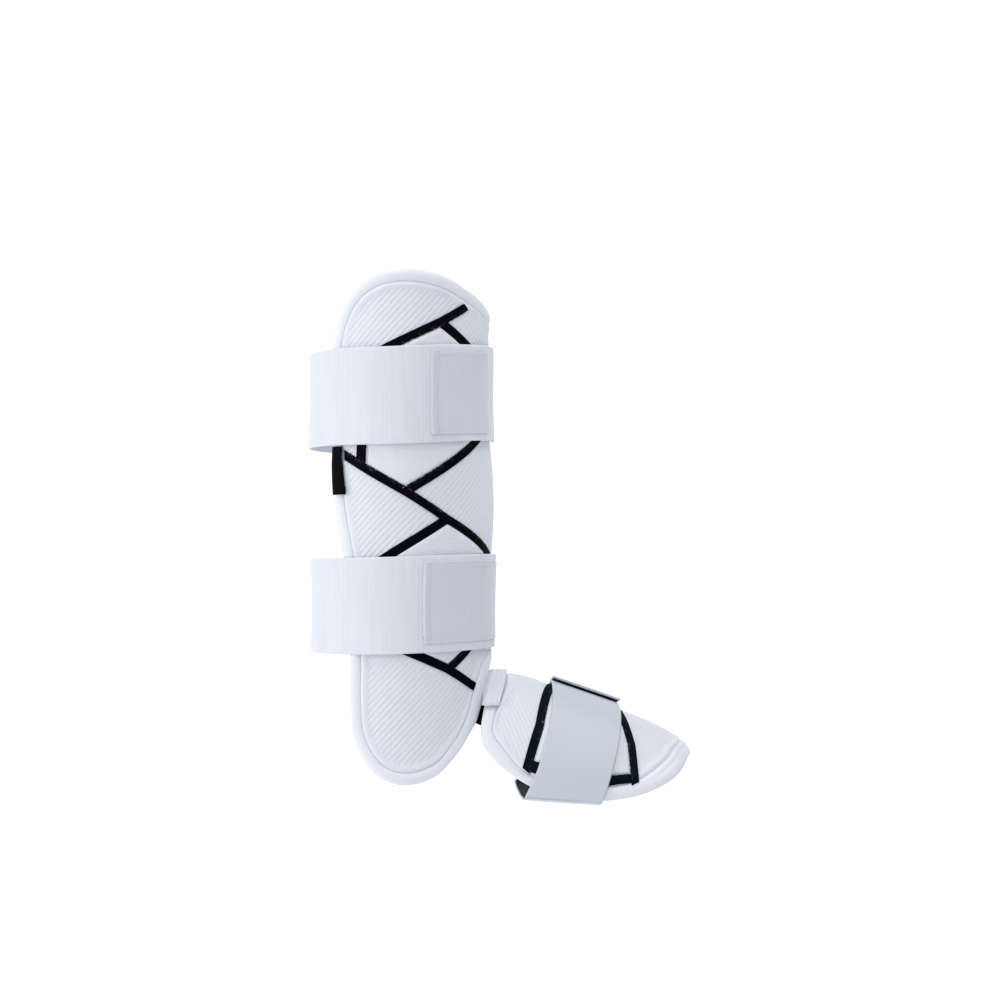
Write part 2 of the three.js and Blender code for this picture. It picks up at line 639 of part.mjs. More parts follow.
// Foot bands and the loop patch between them
FOOT_BANDS.forEach((band) => {
  const line = band.along.map((along, i) => [along, band.turn[i]]);
  const geometry = bandGeometry(footSurface, line, band.width, [1, band.arc]);
  addPiece(band.name, geometry, MATERIALS.footBand);
});
const patchTurns = stations([FOOT_PATCH.from, FOOT_PATCH.to], TURN_STEP);
const patchEdge = (name, side) => patchTurns.map((turn) => {
  const band = FOOT_BANDS.find((row) => row.name === name);
  const clear = band.width / 2 + 2 * PIECE_GAP;
  return [lineValue(band.turn, band.along, turn) + side * clear, turn];
});
const footPatch = ribbonGeometry(
  footSurface, patchEdge('foot_band_rear', 1), patchEdge('foot_band_front', -1), 5,
  patchTurns.map(() => FACE_LAYER), PATCH_THICKNESS);
addPiece('foot_loop_patch', footPatch, MATERIALS.loop);

// Foot strap: over the crest, down the near side, under the sole, and back up to lap over its start
function footStrapPoint(turn, share, lift) {
  const angle = THREE.MathUtils.degToRad(turn);
  const upper = Math.max(Math.cos(angle), 0);
  const slant = (FOOT_STRAP_SLANT * (1 - Math.sin(angle))) / 2;
  const edge = ({ sole, crest, bow }) => THREE.MathUtils.lerp(sole, crest, 1 - (1 - upper) ** bow) - slant;
  const rear = edge(FOOT_STRAP_REAR);
  const front = edge(FOOT_STRAP_FRONT);
  const along = THREE.MathUtils.lerp(rear, front, share);
  const under = THREE.MathUtils.smoothstep(180 - Math.abs(180 - turn), 84 - SOLE_BLEND, 84 + SOLE_BLEND);
  const rise = under * THREE.MathUtils.lerp(SOLE_RISE.rear, SOLE_RISE.front, share);
  if (upper > 0) return lifted(footSurface, along, turn, lift).add(new THREE.Vector3(0, 0, rise));
  const width = smoothValue(FOOT_FORM, 'along', 'width', along) + lift;
  const height = FOOT_BASE + (SOLE_SAG + lift) * Math.cos(angle) + rise;
  return new THREE.Vector3(along, -width * Math.sin(angle), height);
}
const footStrapTurns = stations([FOOT_STRAP_TURNS.start, 80, 100, 260, 280, FOOT_STRAP_TURNS.end], 10);
const footStrapSections = footStrapTurns.map((turn) => {
  const lapping = THREE.MathUtils.smoothstep(turn, FOOT_STRAP_LAP.from, FOOT_STRAP_LAP.to);
  const underside = FOOT_STRAP_LAYER + lapping * (FOOT_STRAP_THICKNESS + 2 * PIECE_GAP);
  const row = (lift) => Array.from({ length: 6 }, (_, k) => footStrapPoint(turn, k / 5, lift));
  return [...row(underside + FOOT_STRAP_THICKNESS), ...row(underside).reverse()];
});
addPiece('foot_strap', loft(footStrapSections, 'capped'), MATERIALS.footStrap);

// A short link between the shields: each row is a smooth line, and its thickness lies on one side
function linkGeometry(rows, steps) {
  const lines = rows.map((points) => new THREE.CatmullRomCurve3(points).getPoints(steps));
  const normalAt = (i, k) => {
    const along = lines[k][Math.min(i + 1, steps)].clone().sub(lines[k][Math.max(i - 1, 0)]);
    const after = lines[Math.min(k + 1, lines.length - 1)][i];
    const across = after.clone().sub(lines[Math.max(k - 1, 0)][i]);
    return across.cross(along).normalize();
  };
  const sections = Array.from({ length: steps + 1 }, (_, i) => {
    const low = lines.map((line) => line[i]);
    const high = lines.map((line, k) => line[i].clone().addScaledVector(normalAt(i, k), LINK_THICKNESS));
    return [...high, ...low.reverse()];
  });
  return loft(sections, 'capped');
}

// White elastic link: from inside the shin shield's front edge to the top of the foot shield's rim
const elasticColumns = ELASTIC_LINK.map((row) => ({
  ...row, sewnTurn: row.sewn[0], sewnHeight: row.sewn[1], edgeTurn: row.edge[0], edgeHeight: row.edge[1],
}));
const elasticTurns = stations(ELASTIC_LINK.map((row) => row.footTurn), TURN_STEP);
const elasticRows = elasticTurns.map((turn) => {
  const value = (column) => smoothValue(elasticColumns, 'footTurn', column, turn);
  return [
    lifted(shinSurface, value('sewnTurn'), value('sewnHeight'), LINK_INSIDE),
    lifted(shinSurface, value('edgeTurn'), value('edgeHeight'), value('edgeLift')),
    lifted(footSurface, value('footEdge'), turn, STRAP_LAYER + PIECE_GAP),
    lifted(footSurface, value('footEdge') + value('lap'), turn, STRAP_LAYER + PIECE_GAP),
  ];
});
addPiece('ankle_elastic', linkGeometry(elasticRows, 8), MATERIALS.elastic);

// Black strap link: inside both shields, seen in the gap between them
const strapRows = STRAP_LINK.map((row) => [
  lifted(shinSurface, ...row.sewn, LINK_INSIDE),
  lifted(shinSurface, ...row.edge, row.edgeLift),
  lifted(footSurface, ...row.foot, LINK_INSIDE),
]);
addPiece('ankle_strap', linkGeometry(strapRows, 6), MATERIALS.black);

export default group;
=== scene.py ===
"""Looks of a batter's leg guard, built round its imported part. Shapes are worked out in millimetres."""
import logging
import math
from dataclasses import dataclass
from enum import Enum
from functools import reduce
from typing import Callable, Sequence

import bmesh
import bpy
import mathutils
import numpy as np
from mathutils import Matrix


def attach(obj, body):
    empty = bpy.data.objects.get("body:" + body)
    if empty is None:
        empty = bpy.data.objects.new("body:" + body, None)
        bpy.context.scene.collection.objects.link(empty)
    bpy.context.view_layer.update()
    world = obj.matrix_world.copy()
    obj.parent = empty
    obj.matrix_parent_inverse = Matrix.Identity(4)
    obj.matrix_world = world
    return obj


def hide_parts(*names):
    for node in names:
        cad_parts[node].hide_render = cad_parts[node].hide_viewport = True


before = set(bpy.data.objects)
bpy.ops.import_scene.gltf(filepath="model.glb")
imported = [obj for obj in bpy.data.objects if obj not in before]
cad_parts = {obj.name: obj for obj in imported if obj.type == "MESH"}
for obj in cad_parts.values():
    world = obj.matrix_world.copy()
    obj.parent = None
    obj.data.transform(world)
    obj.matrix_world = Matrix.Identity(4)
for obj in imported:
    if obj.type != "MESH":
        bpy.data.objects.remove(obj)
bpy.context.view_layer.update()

LOG = logging.getLogger("leg_guard")
MM = 0.001
MERGE = 1e-6
Array = np.ndarray
Colour = tuple[float, float, float]
Table = tuple[tuple[float, ...], ...]

# Mean radii that lay the shin's and the foot's turns out flat, in millimetres
SHIN_RADIUS, FOOT_RADIUS = 57, 56

# The shin form: height, half the depth front to back, half the width
SHIN_FORM: Table = (
    (-40, 58.0, 45.5), (20, 60.5, 48.5), (50, 60.2, 50.0), (86, 59.0, 51.4), (112, 59.9, 52.5),
    (132, 61.9, 53.2), (156, 62.8, 53.7), (178, 62.1, 54.1), (198, 60.1, 54.5), (225, 59.0, 55.0),
    (262, 59.3, 55.5), (312, 58.4, 55.0),
)

# The shin shield's edge: turn round the leg from the front past the near side, and height
SHIN_OUTLINE: Table = (
    (122.4, 28), (122.4, 53), (127.0, 121), (132.2, 155), (136.0, 200), (136.9, 262), (131.6, 279),
    (121.0, 294.5), (104.8, 305), (84.0, 308.5), (60.5, 305.6), (35.0, 296.4), (8.0, 288.5),
    (-32.0, 283), (-54.0, 268), (-61.0, 240), (-61.0, 110), (-55.0, 78), (-36.0, 60), (-8.0, 51),
    (10.6, 46.0), (22.5, 30.5), (38.8, 2), (52.1, -13.5), (66.4, -25), (85.4, -29.6), (102.7, -24.3),
    (114.5, -11), (120.5, 4),
)

# The foot form: distance towards the toe, height of the crest, half the width
FOOT_BASE = -41.0
FOOT_FORM: Table = (
    (50, 40.6, 46), (62, 41.0, 46), (78, 41.4, 46), (87, 39.4, 46), (104, 32.9, 46.5), (124, 25.9, 47),
    (147, 18.0, 47), (163, 11.8, 46.5), (181, 3.2, 46), (190, -4.0, 45), (197, -12.5, 44),
)

# The foot shield's edge: distance towards the toe, and turn from the crest down the near side
FOOT_OUTLINE: Table = (
    (61.8, 0), (60.0, 24), (56.0, 42), (54.3, 53), (55.4, 61.5), (64.4, 71), (78.0, 78.5), (96.0, 85),
    (116, 88.5), (138, 88.5), (160, 84), (176, 74), (186, 60), (193, 33), (196.2, 4), (194, -20),
    (186, -40), (170, -53), (145, -59), (110, -61), (84, -56), (67, -36),
)

# Relief of a shield's face: distance inside the seam, and lift of the groove, the roll and the flat field
FACE_RELIEF: Table = (
    (-3.0, -0.5), (-0.4, -0.5), (0.1, -0.3), (0.9, 0.25), (1.9, 0.8), (3.0, 0.85), (4.6, 0.4), (6.2, 0.12),
    (9.0, 0.05), (60.0, 0.05),
)

# Rings of a pad's flat field and of its lining. The field starts at one distance inside the seam, and its
# relief is read at another, and the face's other rings follow at the steps
FIELD_RINGS, LINING_RINGS = 22, 14
FIELD_STARTS, FIELD_INSIDE = 7.0, 20.0
FACE_STEPS = (5.8, 4.6, 3.7, 3.0, 2.4, 1.9, 1.4, 0.9, 0.5, 0.1, -0.4, -2.0)

# How much the cloth's depth coordinate grows from the edge to the spine
SPINE_DEPTH = 60.0

# Rounded edge of a ribbon, from its top to its underside: shares of the rounding and of the thickness
ROUND_EDGE: Table = ((0.0, 1.0), (0.35, 0.94), (0.75, 0.68), (1.0, 0.5), (0.75, 0.32), (0.35, 0.06))

# Gap between a shield's face and a band, in millimetres
CLEARANCE = 0.12

# Teeth of a ragged band: size and wave length
TEETH: Table = ((0.5, 1.1), (0.4, 2.9), (-0.25, 9))


def smooth_value(table: Table, column: int, at: Array) -> Array:
    """Reads a table's column at places along its first column, smooth through the rows.

    Args:
        table: rows with the key first.
        column: the column to read.
        at: places along the key column.

    Returns:
        The values there.
    """
    rows = np.asarray(table, float)
    keys, values = rows[:, 0], rows[:, column]
    slopes = np.empty_like(values)
    slopes[1:-1] = (values[2:] - values[:-2]) / (keys[2:] - keys[:-2])
    slopes[0] = (values[1] - values[0]) / (keys[1] - keys[0])
    slopes[-1] = (values[-1] - values[-2]) / (keys[-1] - keys[-2])
    i = np.clip(np.searchsorted(keys, at, side="right") - 1, 0, len(keys) - 2)
    span = keys[i + 1] - keys[i]
    t = np.clip((at - keys[i]) / span, 0, 1)
    rise = values[i + 1] - values[i]
    entry, leave = slopes[i] * span, slopes[i + 1] * span
    return values[i] + t * (entry + t * (3 * rise - 2 * entry - leave + t * (entry + leave - 2 * rise)))


def smooth_step(at: Array, low: float, high: float) -> Array:
    """Rises smoothly from 0 at low to 1 at high."""
    t = np.clip((np.asarray(at, float) - low) / (high - low), 0, 1)
    return t * t * (3 - 2 * t)


def spread(low: float, high: float, step: float) -> Array:
    """Even places from low to high, no further apart than step."""
    return np.linspace(low, high, max(int(math.ceil(abs(high - low) / step)), 1) + 1)


def wobble(seed: int, at: Array, wave: float) -> Array:
    """Seeded smooth noise along a line.

    Args:
        seed: picks the noise.
        at: places in millimetres.
        wave: the shortest wave's length in millimetres.

    Returns:
        Values between about -1 and 1.
    """
    made = np.random.default_rng(seed)
    total = np.zeros_like(np.asarray(at, float))
    for share in (1.0, 1.63, 2.71, 4.3):
        phase, size = made.uniform(0, 2 * math.pi), made.uniform(0.6, 1)
        total += size * np.sin(2 * math.pi * at / (wave * share) + phase)
    return total / 3


def stacked(*parts: object) -> Array:
    """Coordinates as one array, each spread over the shape of the others."""
    return np.stack(np.broadcast_arrays(*parts), -1)


def unit(vectors: Array) -> Array:
    """Vectors of the same directions and of length one."""
    return vectors / np.linalg.norm(vectors, axis=-1, keepdims=True)


def bell(at: Array, middle: float, width: float) -> Array:
    """A smooth bump of height 1 round a middle."""
    return np.exp(-((at - middle) / width) ** 2)


def path_length(line: Array) -> Array:
    """Length along a line of points up to each of them."""
    return np.concatenate([[0], np.cumsum(np.linalg.norm(np.diff(line, axis=0), axis=1))])


def along_line(at: Array, reach: Array, line: Array) -> Array:
    """Points of a line in the plane at places along it, where reach holds its own points' places."""
    return np.stack([np.interp(at, reach, line[:, axis]) for axis in (0, 1)], -1)


class Surface:
    """A form that gives a point from two coordinates."""

    def point(self, first: Array, second: Array) -> Array:
        """Points of the form, in millimetres."""
        raise NotImplementedError

    def cloth(self, first: Array, second: Array) -> Array:
        """Flat cloth coordinates in millimetres, as the near side is seen."""
        raise NotImplementedError

    def lifted(self, first: Array, second: Array, lift: Array) -> Array:
        """Points off the form along its outward normal.

        Args:
            first: first coordinates.
            second: second coordinates.
            lift: how far off the form, in millimetres.

        Returns:
            The points, in millimetres.
        """
        given = (np.asarray(value, float) for value in (first, second, lift))
        first, second, lift = np.broadcast_arrays(*given)
        step = 0.5
        along = self.point(first + step, second) - self.point(first - step, second)
        across = self.point(first, second + step) - self.point(first, second - step)
        return self.point(first, second) + unit(np.cross(across, along)) * lift[..., None]


class ShinForm(Surface):
    """The oval form round the leg: turn in degrees and height."""

    def point(self, first: Array, second: Array) -> Array:
        """Points of the form, in millimetres."""
        depth, width = (smooth_value(SHIN_FORM, column, second) for column in (1, 2))
        return stacked(depth * np.cos(np.radians(first)), -width * np.sin(np.radians(first)), second)

    def cloth(self, first: Array, second: Array) -> Array:
        """Flat cloth coordinates in millimetres, as the near side is seen."""
        return stacked(-np.radians(first) * SHIN_RADIUS, second)


class FootForm(Surface):
    """The arched form over the foot: distance towards the toe and turn in degrees."""

    def point(self, first: Array, second: Array) -> Array:
        """Points of the form, in millimetres."""
        crest, width = (smooth_value(FOOT_FORM, column, first) for column in (1, 2))
        return stacked(first, -width * np.sin(np.radians(second)),
                       FOOT_BASE + (crest - FOOT_BASE) * np.cos(np.radians(second)))

    def cloth(self, first: Array, second: Array) -> Array:
        """Flat cloth coordinates in millimetres, as the near side is seen."""
        return stacked(first, -np.radians(second) * FOOT_RADIUS)


SHIN, FOOT = ShinForm(), FootForm()


class Wire:
    """A shader socket that takes part in Python arithmetic."""

    def __init__(self, recipe: "Recipe", socket: bpy.types.NodeSocket) -> None:
        """Wraps a socket of a recipe's node tree."""
        self.recipe, self.socket = recipe, socket

    def math(self, operation: str, *others: object) -> "Wire":
        """A Math node on this socket and other sockets or numbers."""
        inputs = dict(enumerate((self, *others)))
        return self.recipe.node("ShaderNodeMath", {"operation": operation}, inputs)

    def __add__(self, other: object) -> "Wire":
        """Sum."""
        return self.math("ADD", other)

    def __sub__(self, other: object) -> "Wire":
        """Difference."""
        return self.math("SUBTRACT", other)

    def __rsub__(self, other: float) -> "Wire":
        """Difference with the number first."""
        return (self * -1) + other

    def __mul__(self, other: object) -> "Wire":
        """Product."""
        return self.math("MULTIPLY", other)

    def __pow__(self, other: object) -> "Wire":
        """Power."""
        return self.math("POWER", other)

    __radd__, __rmul__ = __add__, __mul__

    def wave(self, length: float) -> "Wire":
        """A wave between 0 and 1 with that length in millimetres."""
        return (self * (2 * math.pi / length)).math("SINE") * 0.5 + 0.5

    def step(self, low: float, high: float) -> "Wire":
        """Rises smoothly from 0 at low to 1 at high."""
        settings = {"interpolation_type": "SMOOTHSTEP"}
        inputs = {"Value": self, "From Min": low, "From Max": high}
        return self.recipe.node("ShaderNodeMapRange", settings, inputs)


class Recipe:
    """A new material's nodes, with one method that adds any node."""

    def __init__(self, name: str, roughness: float, sheen: float = 0.0, specular: float = 0.4) -> None:
        """Starts a material.

        Args:
            name: the material's name.
            roughness: the shader's roughness.
            sheen: weight of the cloth's sheen.
            specular: level of its reflections.
        """
        self.material = bpy.data.materials.new(name)
        self.material.use_nodes = True
        self.shader = self.material.node_tree.nodes["Principled BSDF"].inputs
        values = {"Roughness": roughness, "Sheen Weight": sheen, "Specular IOR Level": specular,
                  "Sheen Roughness": 0.5}
        for key, value in values.items():
            self.feed(self.shader[key], value)
        self.cloth = self.node("ShaderNodeAttribute", {"attribute_name": "cloth"}, {}, "Vector")
        parts = self.node("ShaderNodeSeparateXYZ", {}, {"Vector": self.cloth}).socket.node
        self.x, self.y, self.z = (Wire(self, parts.outputs[i]) for i in range(3))

    def feed(self, socket: bpy.types.NodeSocket, value: object) -> None:
        """Links a wire to a socket, or sets the socket's own value.

        Args:
            socket: an input.
            value: a wire, a number or numbers.
        """
        if isinstance(value, Wire):
            self.material.node_tree.links.new(value.socket, socket)
        else:
            socket.default_value = value

    def node(self, kind: str, settings: dict, inputs: dict, output: object = 0) -> Wire:
        """Adds a node.

        Args:
            kind: the node's type.
            settings: its settings, set first.
            inputs: values or wires of its sockets, by name or number.
            output: name or number of the socket that is returned.

        Returns:
            The output socket.
        """
        made = self.material.node_tree.nodes.new(kind)
        for key, value in settings.items():
            setattr(made, key, value)
        for key, value in inputs.items():
            self.feed(made.inputs[key], value)
        return Wire(self, made.outputs[output])

    def noise(self, scale: float, detail: float = 2.0, stretch: Sequence[float] = (1, 1, 1)) -> Wire:
        """Noise over the cloth, round 0.5.

        Args:
            scale: waves in a millimetre.
            detail: octaves.
            stretch: scale of each cloth coordinate.

        Returns:
            The noise.
        """
        place = self.node("ShaderNodeVectorMath", {"operation": "MULTIPLY"}, {0: self.cloth, 1: stretch})
        return self.node("ShaderNodeTexNoise", {}, {"Vector": place, "Scale": scale, "Detail": detail})

    def blend(self, factor: Wire, low: object, high: Colour) -> Wire:
        """A colour that goes with a factor from low, which may be a wire, to high."""
        inputs = {0: factor, 6: low if isinstance(low, Wire) else (*low, 1), 7: (*high, 1)}
        return self.node("ShaderNodeMix", {"data_type": "RGBA"}, inputs, 2)

    def finish(self, colour: Wire, height: Wire | None = None, depth: float = 1.0) -> bpy.types.Material:
        """Wires the colour and the relief to the shader.

        Args:
            colour: the colour.
            height: relief between 0 and 1.
            depth: the relief's depth in millimetres.

        Returns:
            The material.
        """
        self.feed(self.shader["Base Color"], colour)
        if height is not None:
            inputs = {"Height": height, "Strength": 1.0, "Distance": depth * MM}
            self.feed(self.shader["Normal"], self.node("ShaderNodeBump", {}, inputs, "Normal"))
        return self.material


def shade(colour: Colour, share: float) -> Colour:
    """A colour made darker or lighter by a share."""
    return tuple(channel * share for channel in colour)


@dataclass(frozen=True)
class Cloth:
    """What all finishes have: a name and a colour."""

    name: str
    colour: Colour

    def make(self) -> bpy.types.Material:
        """Builds the material.

        Returns:
            The material.
        """
        raise NotImplementedError

    def toned(self, recipe: Recipe, tone: Wire, low: float, high: float = 1.0) -> Wire:
        """The colour, which goes with a tone from a low share of itself to a high one."""
        return recipe.blend(tone, shade(self.colour, low), shade(self.colour, high))


@dataclass(frozen=True)
class RibbedFace(Cloth):
    """White moulded face with diagonal ribs inside a smooth margin, with painted shade in the rib grooves."""

    lean: float
    pitch: float = 3.05
    depth: float = 0.22
    margin: tuple[float, float] = (4.2, 6.2)
    bead_pitch: float = 2.15
    bead_share: float = 0.16
    shadow: float = 0.24
    shadow_tone: float = 0.8

    def make(self) -> bpy.types.Material:
        """Builds the material.

        Returns:
            The material.
        """
        recipe = Recipe(self.name, 0.62, 0.12)
        angle = math.radians(self.lean)
        across = recipe.y * math.cos(angle) - recipe.x * math.sin(angle)
        along = recipe.x * math.cos(angle) + recipe.y * math.sin(angle)
        inside = recipe.z.step(*self.margin)
        groove = across.wave(self.pitch) ** 2 * inside
        beads = along.wave(self.bead_pitch) * inside
        relief = 1 - groove + recipe.noise(1.6, 3.0) * 0.3 + beads * self.bead_share
        worn = self.toned(recipe, recipe.noise(0.035, 3.0), 0.93)
        # Painted shade: the colour darkens in the rib grooves towards a darker copy of itself.
        colour = recipe.blend(groove * self.shadow, worn, shade(self.colour, self.shadow_tone))
        return recipe.finish(colour, relief, self.depth)


@dataclass(frozen=True)
class SmoothCloth(Cloth):
    """Smooth coated cloth, for the rims and the foot strap."""

    roughness: float = 0.55
    grain: float = 2.2
    depth: float = 0.06
    sheen: float = 0.1

    def make(self) -> bpy.types.Material:
        """Builds the material.

        Returns:
            The material.
        """
        recipe = Recipe(self.name, self.roughness, self.sheen)
        fine, folds, worn = recipe.noise(self.grain, 3.0), recipe.noise(0.12), recipe.noise(0.03)
        colour = self.toned(recipe, worn * 0.7 + fine * 0.3, 0.94)
        return recipe.finish(colour, fine * 0.5 + folds * 1.5, self.depth)


@dataclass(frozen=True)
class LoopPile(Cloth):
    """Brushed loop pile, soft and uneven."""

    sheen: float = 0.35
    depth: float = 0.55

    def make(self) -> bpy.types.Material:
        """Builds the material.

        Returns:
            The material.
        """
        recipe = Recipe(self.name, 0.9, self.sheen)
        tufts, patches = recipe.noise(0.95, 4.0), recipe.noise(0.09, 3.0)
        fibres = recipe.noise(1.7, 4.0, (1, 0.35, 1))
        colour = self.toned(recipe, tufts * 0.5 + patches * 0.5, 0.88)
        return recipe.finish(colour, tufts + fibres * 0.7, self.depth)


@dataclass(frozen=True)
class PrintedBand(Cloth):
    """Black film, with pale fibres caught on the side that meets the pile."""

    fibre: Colour = (0.42, 0.44, 0.5)
    reach: float = 2.2
    depth: float = 0.16

    def make(self) -> bpy.types.Material:
        """Builds the material.

        Returns:
            The material.
        """
        recipe = Recipe(self.name, 0.55, specular=0.03)
        specks = recipe.noise(1.0, 5.0, (1, 1, 0)).step(0.56, 0.68)
        lint = recipe.noise(0.08, 2.0, (1, 1, 0)).step(0.42, 0.62)
        colour = recipe.blend(specks * recipe.z.step(0.0, self.reach) * lint * 0.6, self.colour, self.fibre)
        return recipe.finish(colour, recipe.noise(0.7, 3.0), self.depth)


@dataclass(frozen=True)
class WovenElastic(Cloth):
    """Elastic webbing: fine ribs across its length and a smooth selvage on both edges."""

    rib: float = 1.15
    depth: float = 0.11
    roughness: float = 0.7
    selvage: tuple[float, float] = (1.2, 1.9)
    thread: float = 0.62

    def make(self) -> bpy.types.Material:
        """Builds the material.

        Returns:
            The material.
        """
        recipe = Recipe(self.name, self.roughness, 0.2)
        ribs = recipe.x.wave(self.rib) * recipe.z.step(*self.selvage)
        threads = recipe.y.wave(self.thread) * 0.35
        streaks = recipe.noise(0.7, 2.0, (1, 0.012, 0))
        cloudy = recipe.noise(0.03, 2.0, (1, 0.4, 0))
        colour = self.toned(recipe, streaks.step(0.25, 0.75) * 0.28 + cloudy * 0.62, 0.86, 1.05)
        return recipe.finish(colour, ribs * 0.6 + threads + streaks * 0.7, self.depth)


@dataclass(frozen=True)
class Webbing(Cloth):
    """Plain woven tape, such as the side tag and the link strap."""

    thread: float = 0.8
    depth: float = 0.14

    def make(self) -> bpy.types.Material:
        """Builds the material.

        Returns:
            The material.
        """
        recipe = Recipe(self.name, 0.75, specular=0.04)
        weave = recipe.x.wave(self.thread) * recipe.y.wave(self.thread)
        worn = recipe.noise(0.4, 3.0)
        return recipe.finish(self.toned(recipe, worn, 1.0, 2.2), weave + worn * 0.4, self.depth)


class Finish(Enum):
    """The finishes of the guard's pieces."""

    SHIN_FACE = RibbedFace("shin_face", (0.79, 0.815, 0.89), 48)
    FOOT_FACE = RibbedFace("foot_face", (0.81, 0.83, 0.9), -62, 2.7, 0.18)
    RIM = SmoothCloth("rim_cloth", (0.83, 0.85, 0.915))
    LINING = SmoothCloth("lining_cloth", (0.62, 0.64, 0.69), 0.85, 1.4, 0.2)
    PILE = LoopPile("loop_pile", (0.83, 0.86, 0.93))
    BAND = PrintedBand("black_film", (0.0016, 0.0016, 0.0042))
    FOOT_BAND = PrintedBand("foot_film", (0.0012, 0.0062, 0.0105))
    ELASTIC = WovenElastic("white_elastic", (0.78, 0.805, 0.88))
    TAB = WovenElastic("tab_cloth", (0.69, 0.715, 0.8), 2.1, 0.05, 0.5)
    FOOT_STRAP = SmoothCloth("grey_strap", (0.6, 0.645, 0.71), 0.45, 1.8, 0.04, 0.0)
    STRAP_INSIDE = LoopPile("dark_strap_lining", (0.014, 0.016, 0.021), 0.05)
    TAPE = Webbing("black_tape", (0.0022, 0.0022, 0.0034))
    THREAD = SmoothCloth("stitch_thread", (0.66, 0.68, 0.75), 0.6, 3.0)

    def material(self) -> bpy.types.Material:
        """The material of this finish, built once."""
        return bpy.data.materials.get(self.value.name) or self.value.make()


@dataclass
class Shape:
    """Points, faces and cloth coordinates of a piece before it becomes an object, and its inner faces."""

    points: Array
    faces: list[tuple[int, ...]]
    cloth: Array
    inner: list[bool]

    def joined(self, other: "Shape") -> "Shape":
        """This shape and another as one."""
        faces = self.faces + [tuple(k + len(self.points) for k in face) for face in other.faces]
        return Shape(np.vstack([self.points, other.points]), faces, np.vstack([self.cloth, other.cloth]),
                     self.inner + other.inner)


def grid_faces(rows: int, count: int, joined: bool) -> list[tuple[int, ...]]:
    """Faces between rows of closed rings, and between the last and the first where they are joined."""
    return [(i * count + k, i * count + (k + 1) % count,
             (i + 1) % rows * count + (k + 1) % count, (i + 1) % rows * count + k)
            for i in range(rows if joined else rows - 1) for k in range(count)]


def loft(points: Array, cloth: Array, joined: bool = False, inner: range = range(0)) -> Shape:
    """Skins a row of closed sections.

    Args:
        points: sections by points by three.
        cloth: cloth coordinates of the same points.
        joined: whether the last section meets the first, instead of both having a cap.
        inner: the strips along the row that have the second finish.

    Returns:
        The closed shape.
    """
    rows, count = points.shape[:2]
    faces = grid_faces(rows, count, joined)
    flags = [k in inner for k in range(count)] * (len(faces) // count)
    if not joined:
        last = (rows - 1) * count
        for k in range(count // 2 - 1):
            faces.append((k + 1, k, count - 1 - k, count - 2 - k))
            faces.append((last + k, last + k + 1, last + count - 2 - k, last + count - 1 - k))
            flags += [False, False]
    return Shape(points.reshape(-1, 3), faces, cloth.reshape(-1, 3), flags)


def new_mesh(name: str, points: Array, faces: Sequence[tuple[int, ...]], cloth: Array) -> bpy.types.Mesh:
    """Makes a mesh that carries cloth coordinates.

    Args:
        name: the mesh's name.
        points: its points in metres.
        faces: its faces.
        cloth: its points' cloth coordinates.

    Returns:
        The mesh.
    """
    mesh = bpy.data.meshes.new(name)
    mesh.from_pydata(points.tolist(), [], faces)
    layer = mesh.attributes.new("cloth", "FLOAT_VECTOR", "POINT")
    layer.data.foreach_set("vector", np.asarray(cloth, np.float32).ravel())
    return mesh


def add_object(name: str, data: bpy.types.ID) -> bpy.types.Object:
    """Puts a mesh, a lamp or a camera into the scene.

    Args:
        name: the object's name.
        data: what it shows.

    Returns:
        The object.
    """
    made = bpy.data.objects.new(name, data)
    bpy.context.scene.collection.objects.link(made)
    return made


def add_piece(name: str, shape: Shape, finish: Finish, nodes: Sequence[str] = (),
              second: Finish | None = None) -> bpy.types.Object:
    """Makes an object of a shape, dresses it and lets it ride on the part.

    Args:
        name: the piece's name.
        shape: its shape in millimetres.
        finish: its finish.
        nodes: nodes of the part that it stands for.
        second: finish of the inner faces.

    Returns:
        The object.
    """
    mesh = new_mesh(name, shape.points * MM, shape.faces, shape.cloth)
    mesh.materials.append(finish.material())
    if second:
        mesh.materials.append(second.material())
        mesh.polygons.foreach_set("material_index", np.array(shape.inner, np.int32))
    work = bmesh.new()
    work.from_mesh(mesh)
    bmesh.ops.remove_doubles(work, verts=work.verts, dist=MERGE)
    bmesh.ops.dissolve_degenerate(work, edges=work.edges, dist=MERGE)
    bmesh.ops.recalc_face_normals(work, faces=work.faces)
    work.to_mesh(mesh)
    work.free()
    mesh.polygons.foreach_set("use_smooth", np.ones(len(mesh.polygons), bool))
    piece = add_object(name, mesh)
    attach(piece, "root")
    if nodes:
        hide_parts(*nodes)
    LOG.info("%s: %d faces", name, len(mesh.polygons))
    return piece


def spline_span(corners: Sequence[Array], steps: int) -> Array:
    """Points of the middle span of a centripetal spline through four corners, without its end.

    Args:
        corners: the corner before the span, its start, its end and the corner after it.
        steps: how many points.

    Returns:
        The points.
    """
    before, start, end, after = corners
    lead, span, trail = (max(np.linalg.norm(b - a) ** 0.5, 1e-4) for a, b in zip(corners, corners[1:]))
    first = ((start - before) / lead - (end - before) / (lead + span) + (end - start) / span) * span
    last = ((end - start) / span - (after - start) / (span + trail) + (after - end) / trail) * span
    t = np.linspace(0, 1, steps, endpoint=False)[:, None]
    bend = -3 * start + 3 * end - 2 * first - last
    return start + first * t + bend * t ** 2 + (2 * start - 2 * end + first + last) * t ** 3


def smooth_loop(corners: Table, samples: int) -> Array:
    """A closed centripetal spline through corners, sampled evenly.

    Args:
        corners: points of the plane.
        samples: how many samples.

    Returns:
        The samples, without a repeated end.
    """
    ring = np.asarray(corners, float)
    fours = zip(*(np.roll(ring, shift, axis=0) for shift in (1, 0, -1, -2)))
    line = np.vstack([*(spline_span(four, 40) for four in fours), ring[:1]])
    reach = path_length(line)
    return along_line(np.linspace(0, reach[-1], samples, endpoint=False), reach, line)


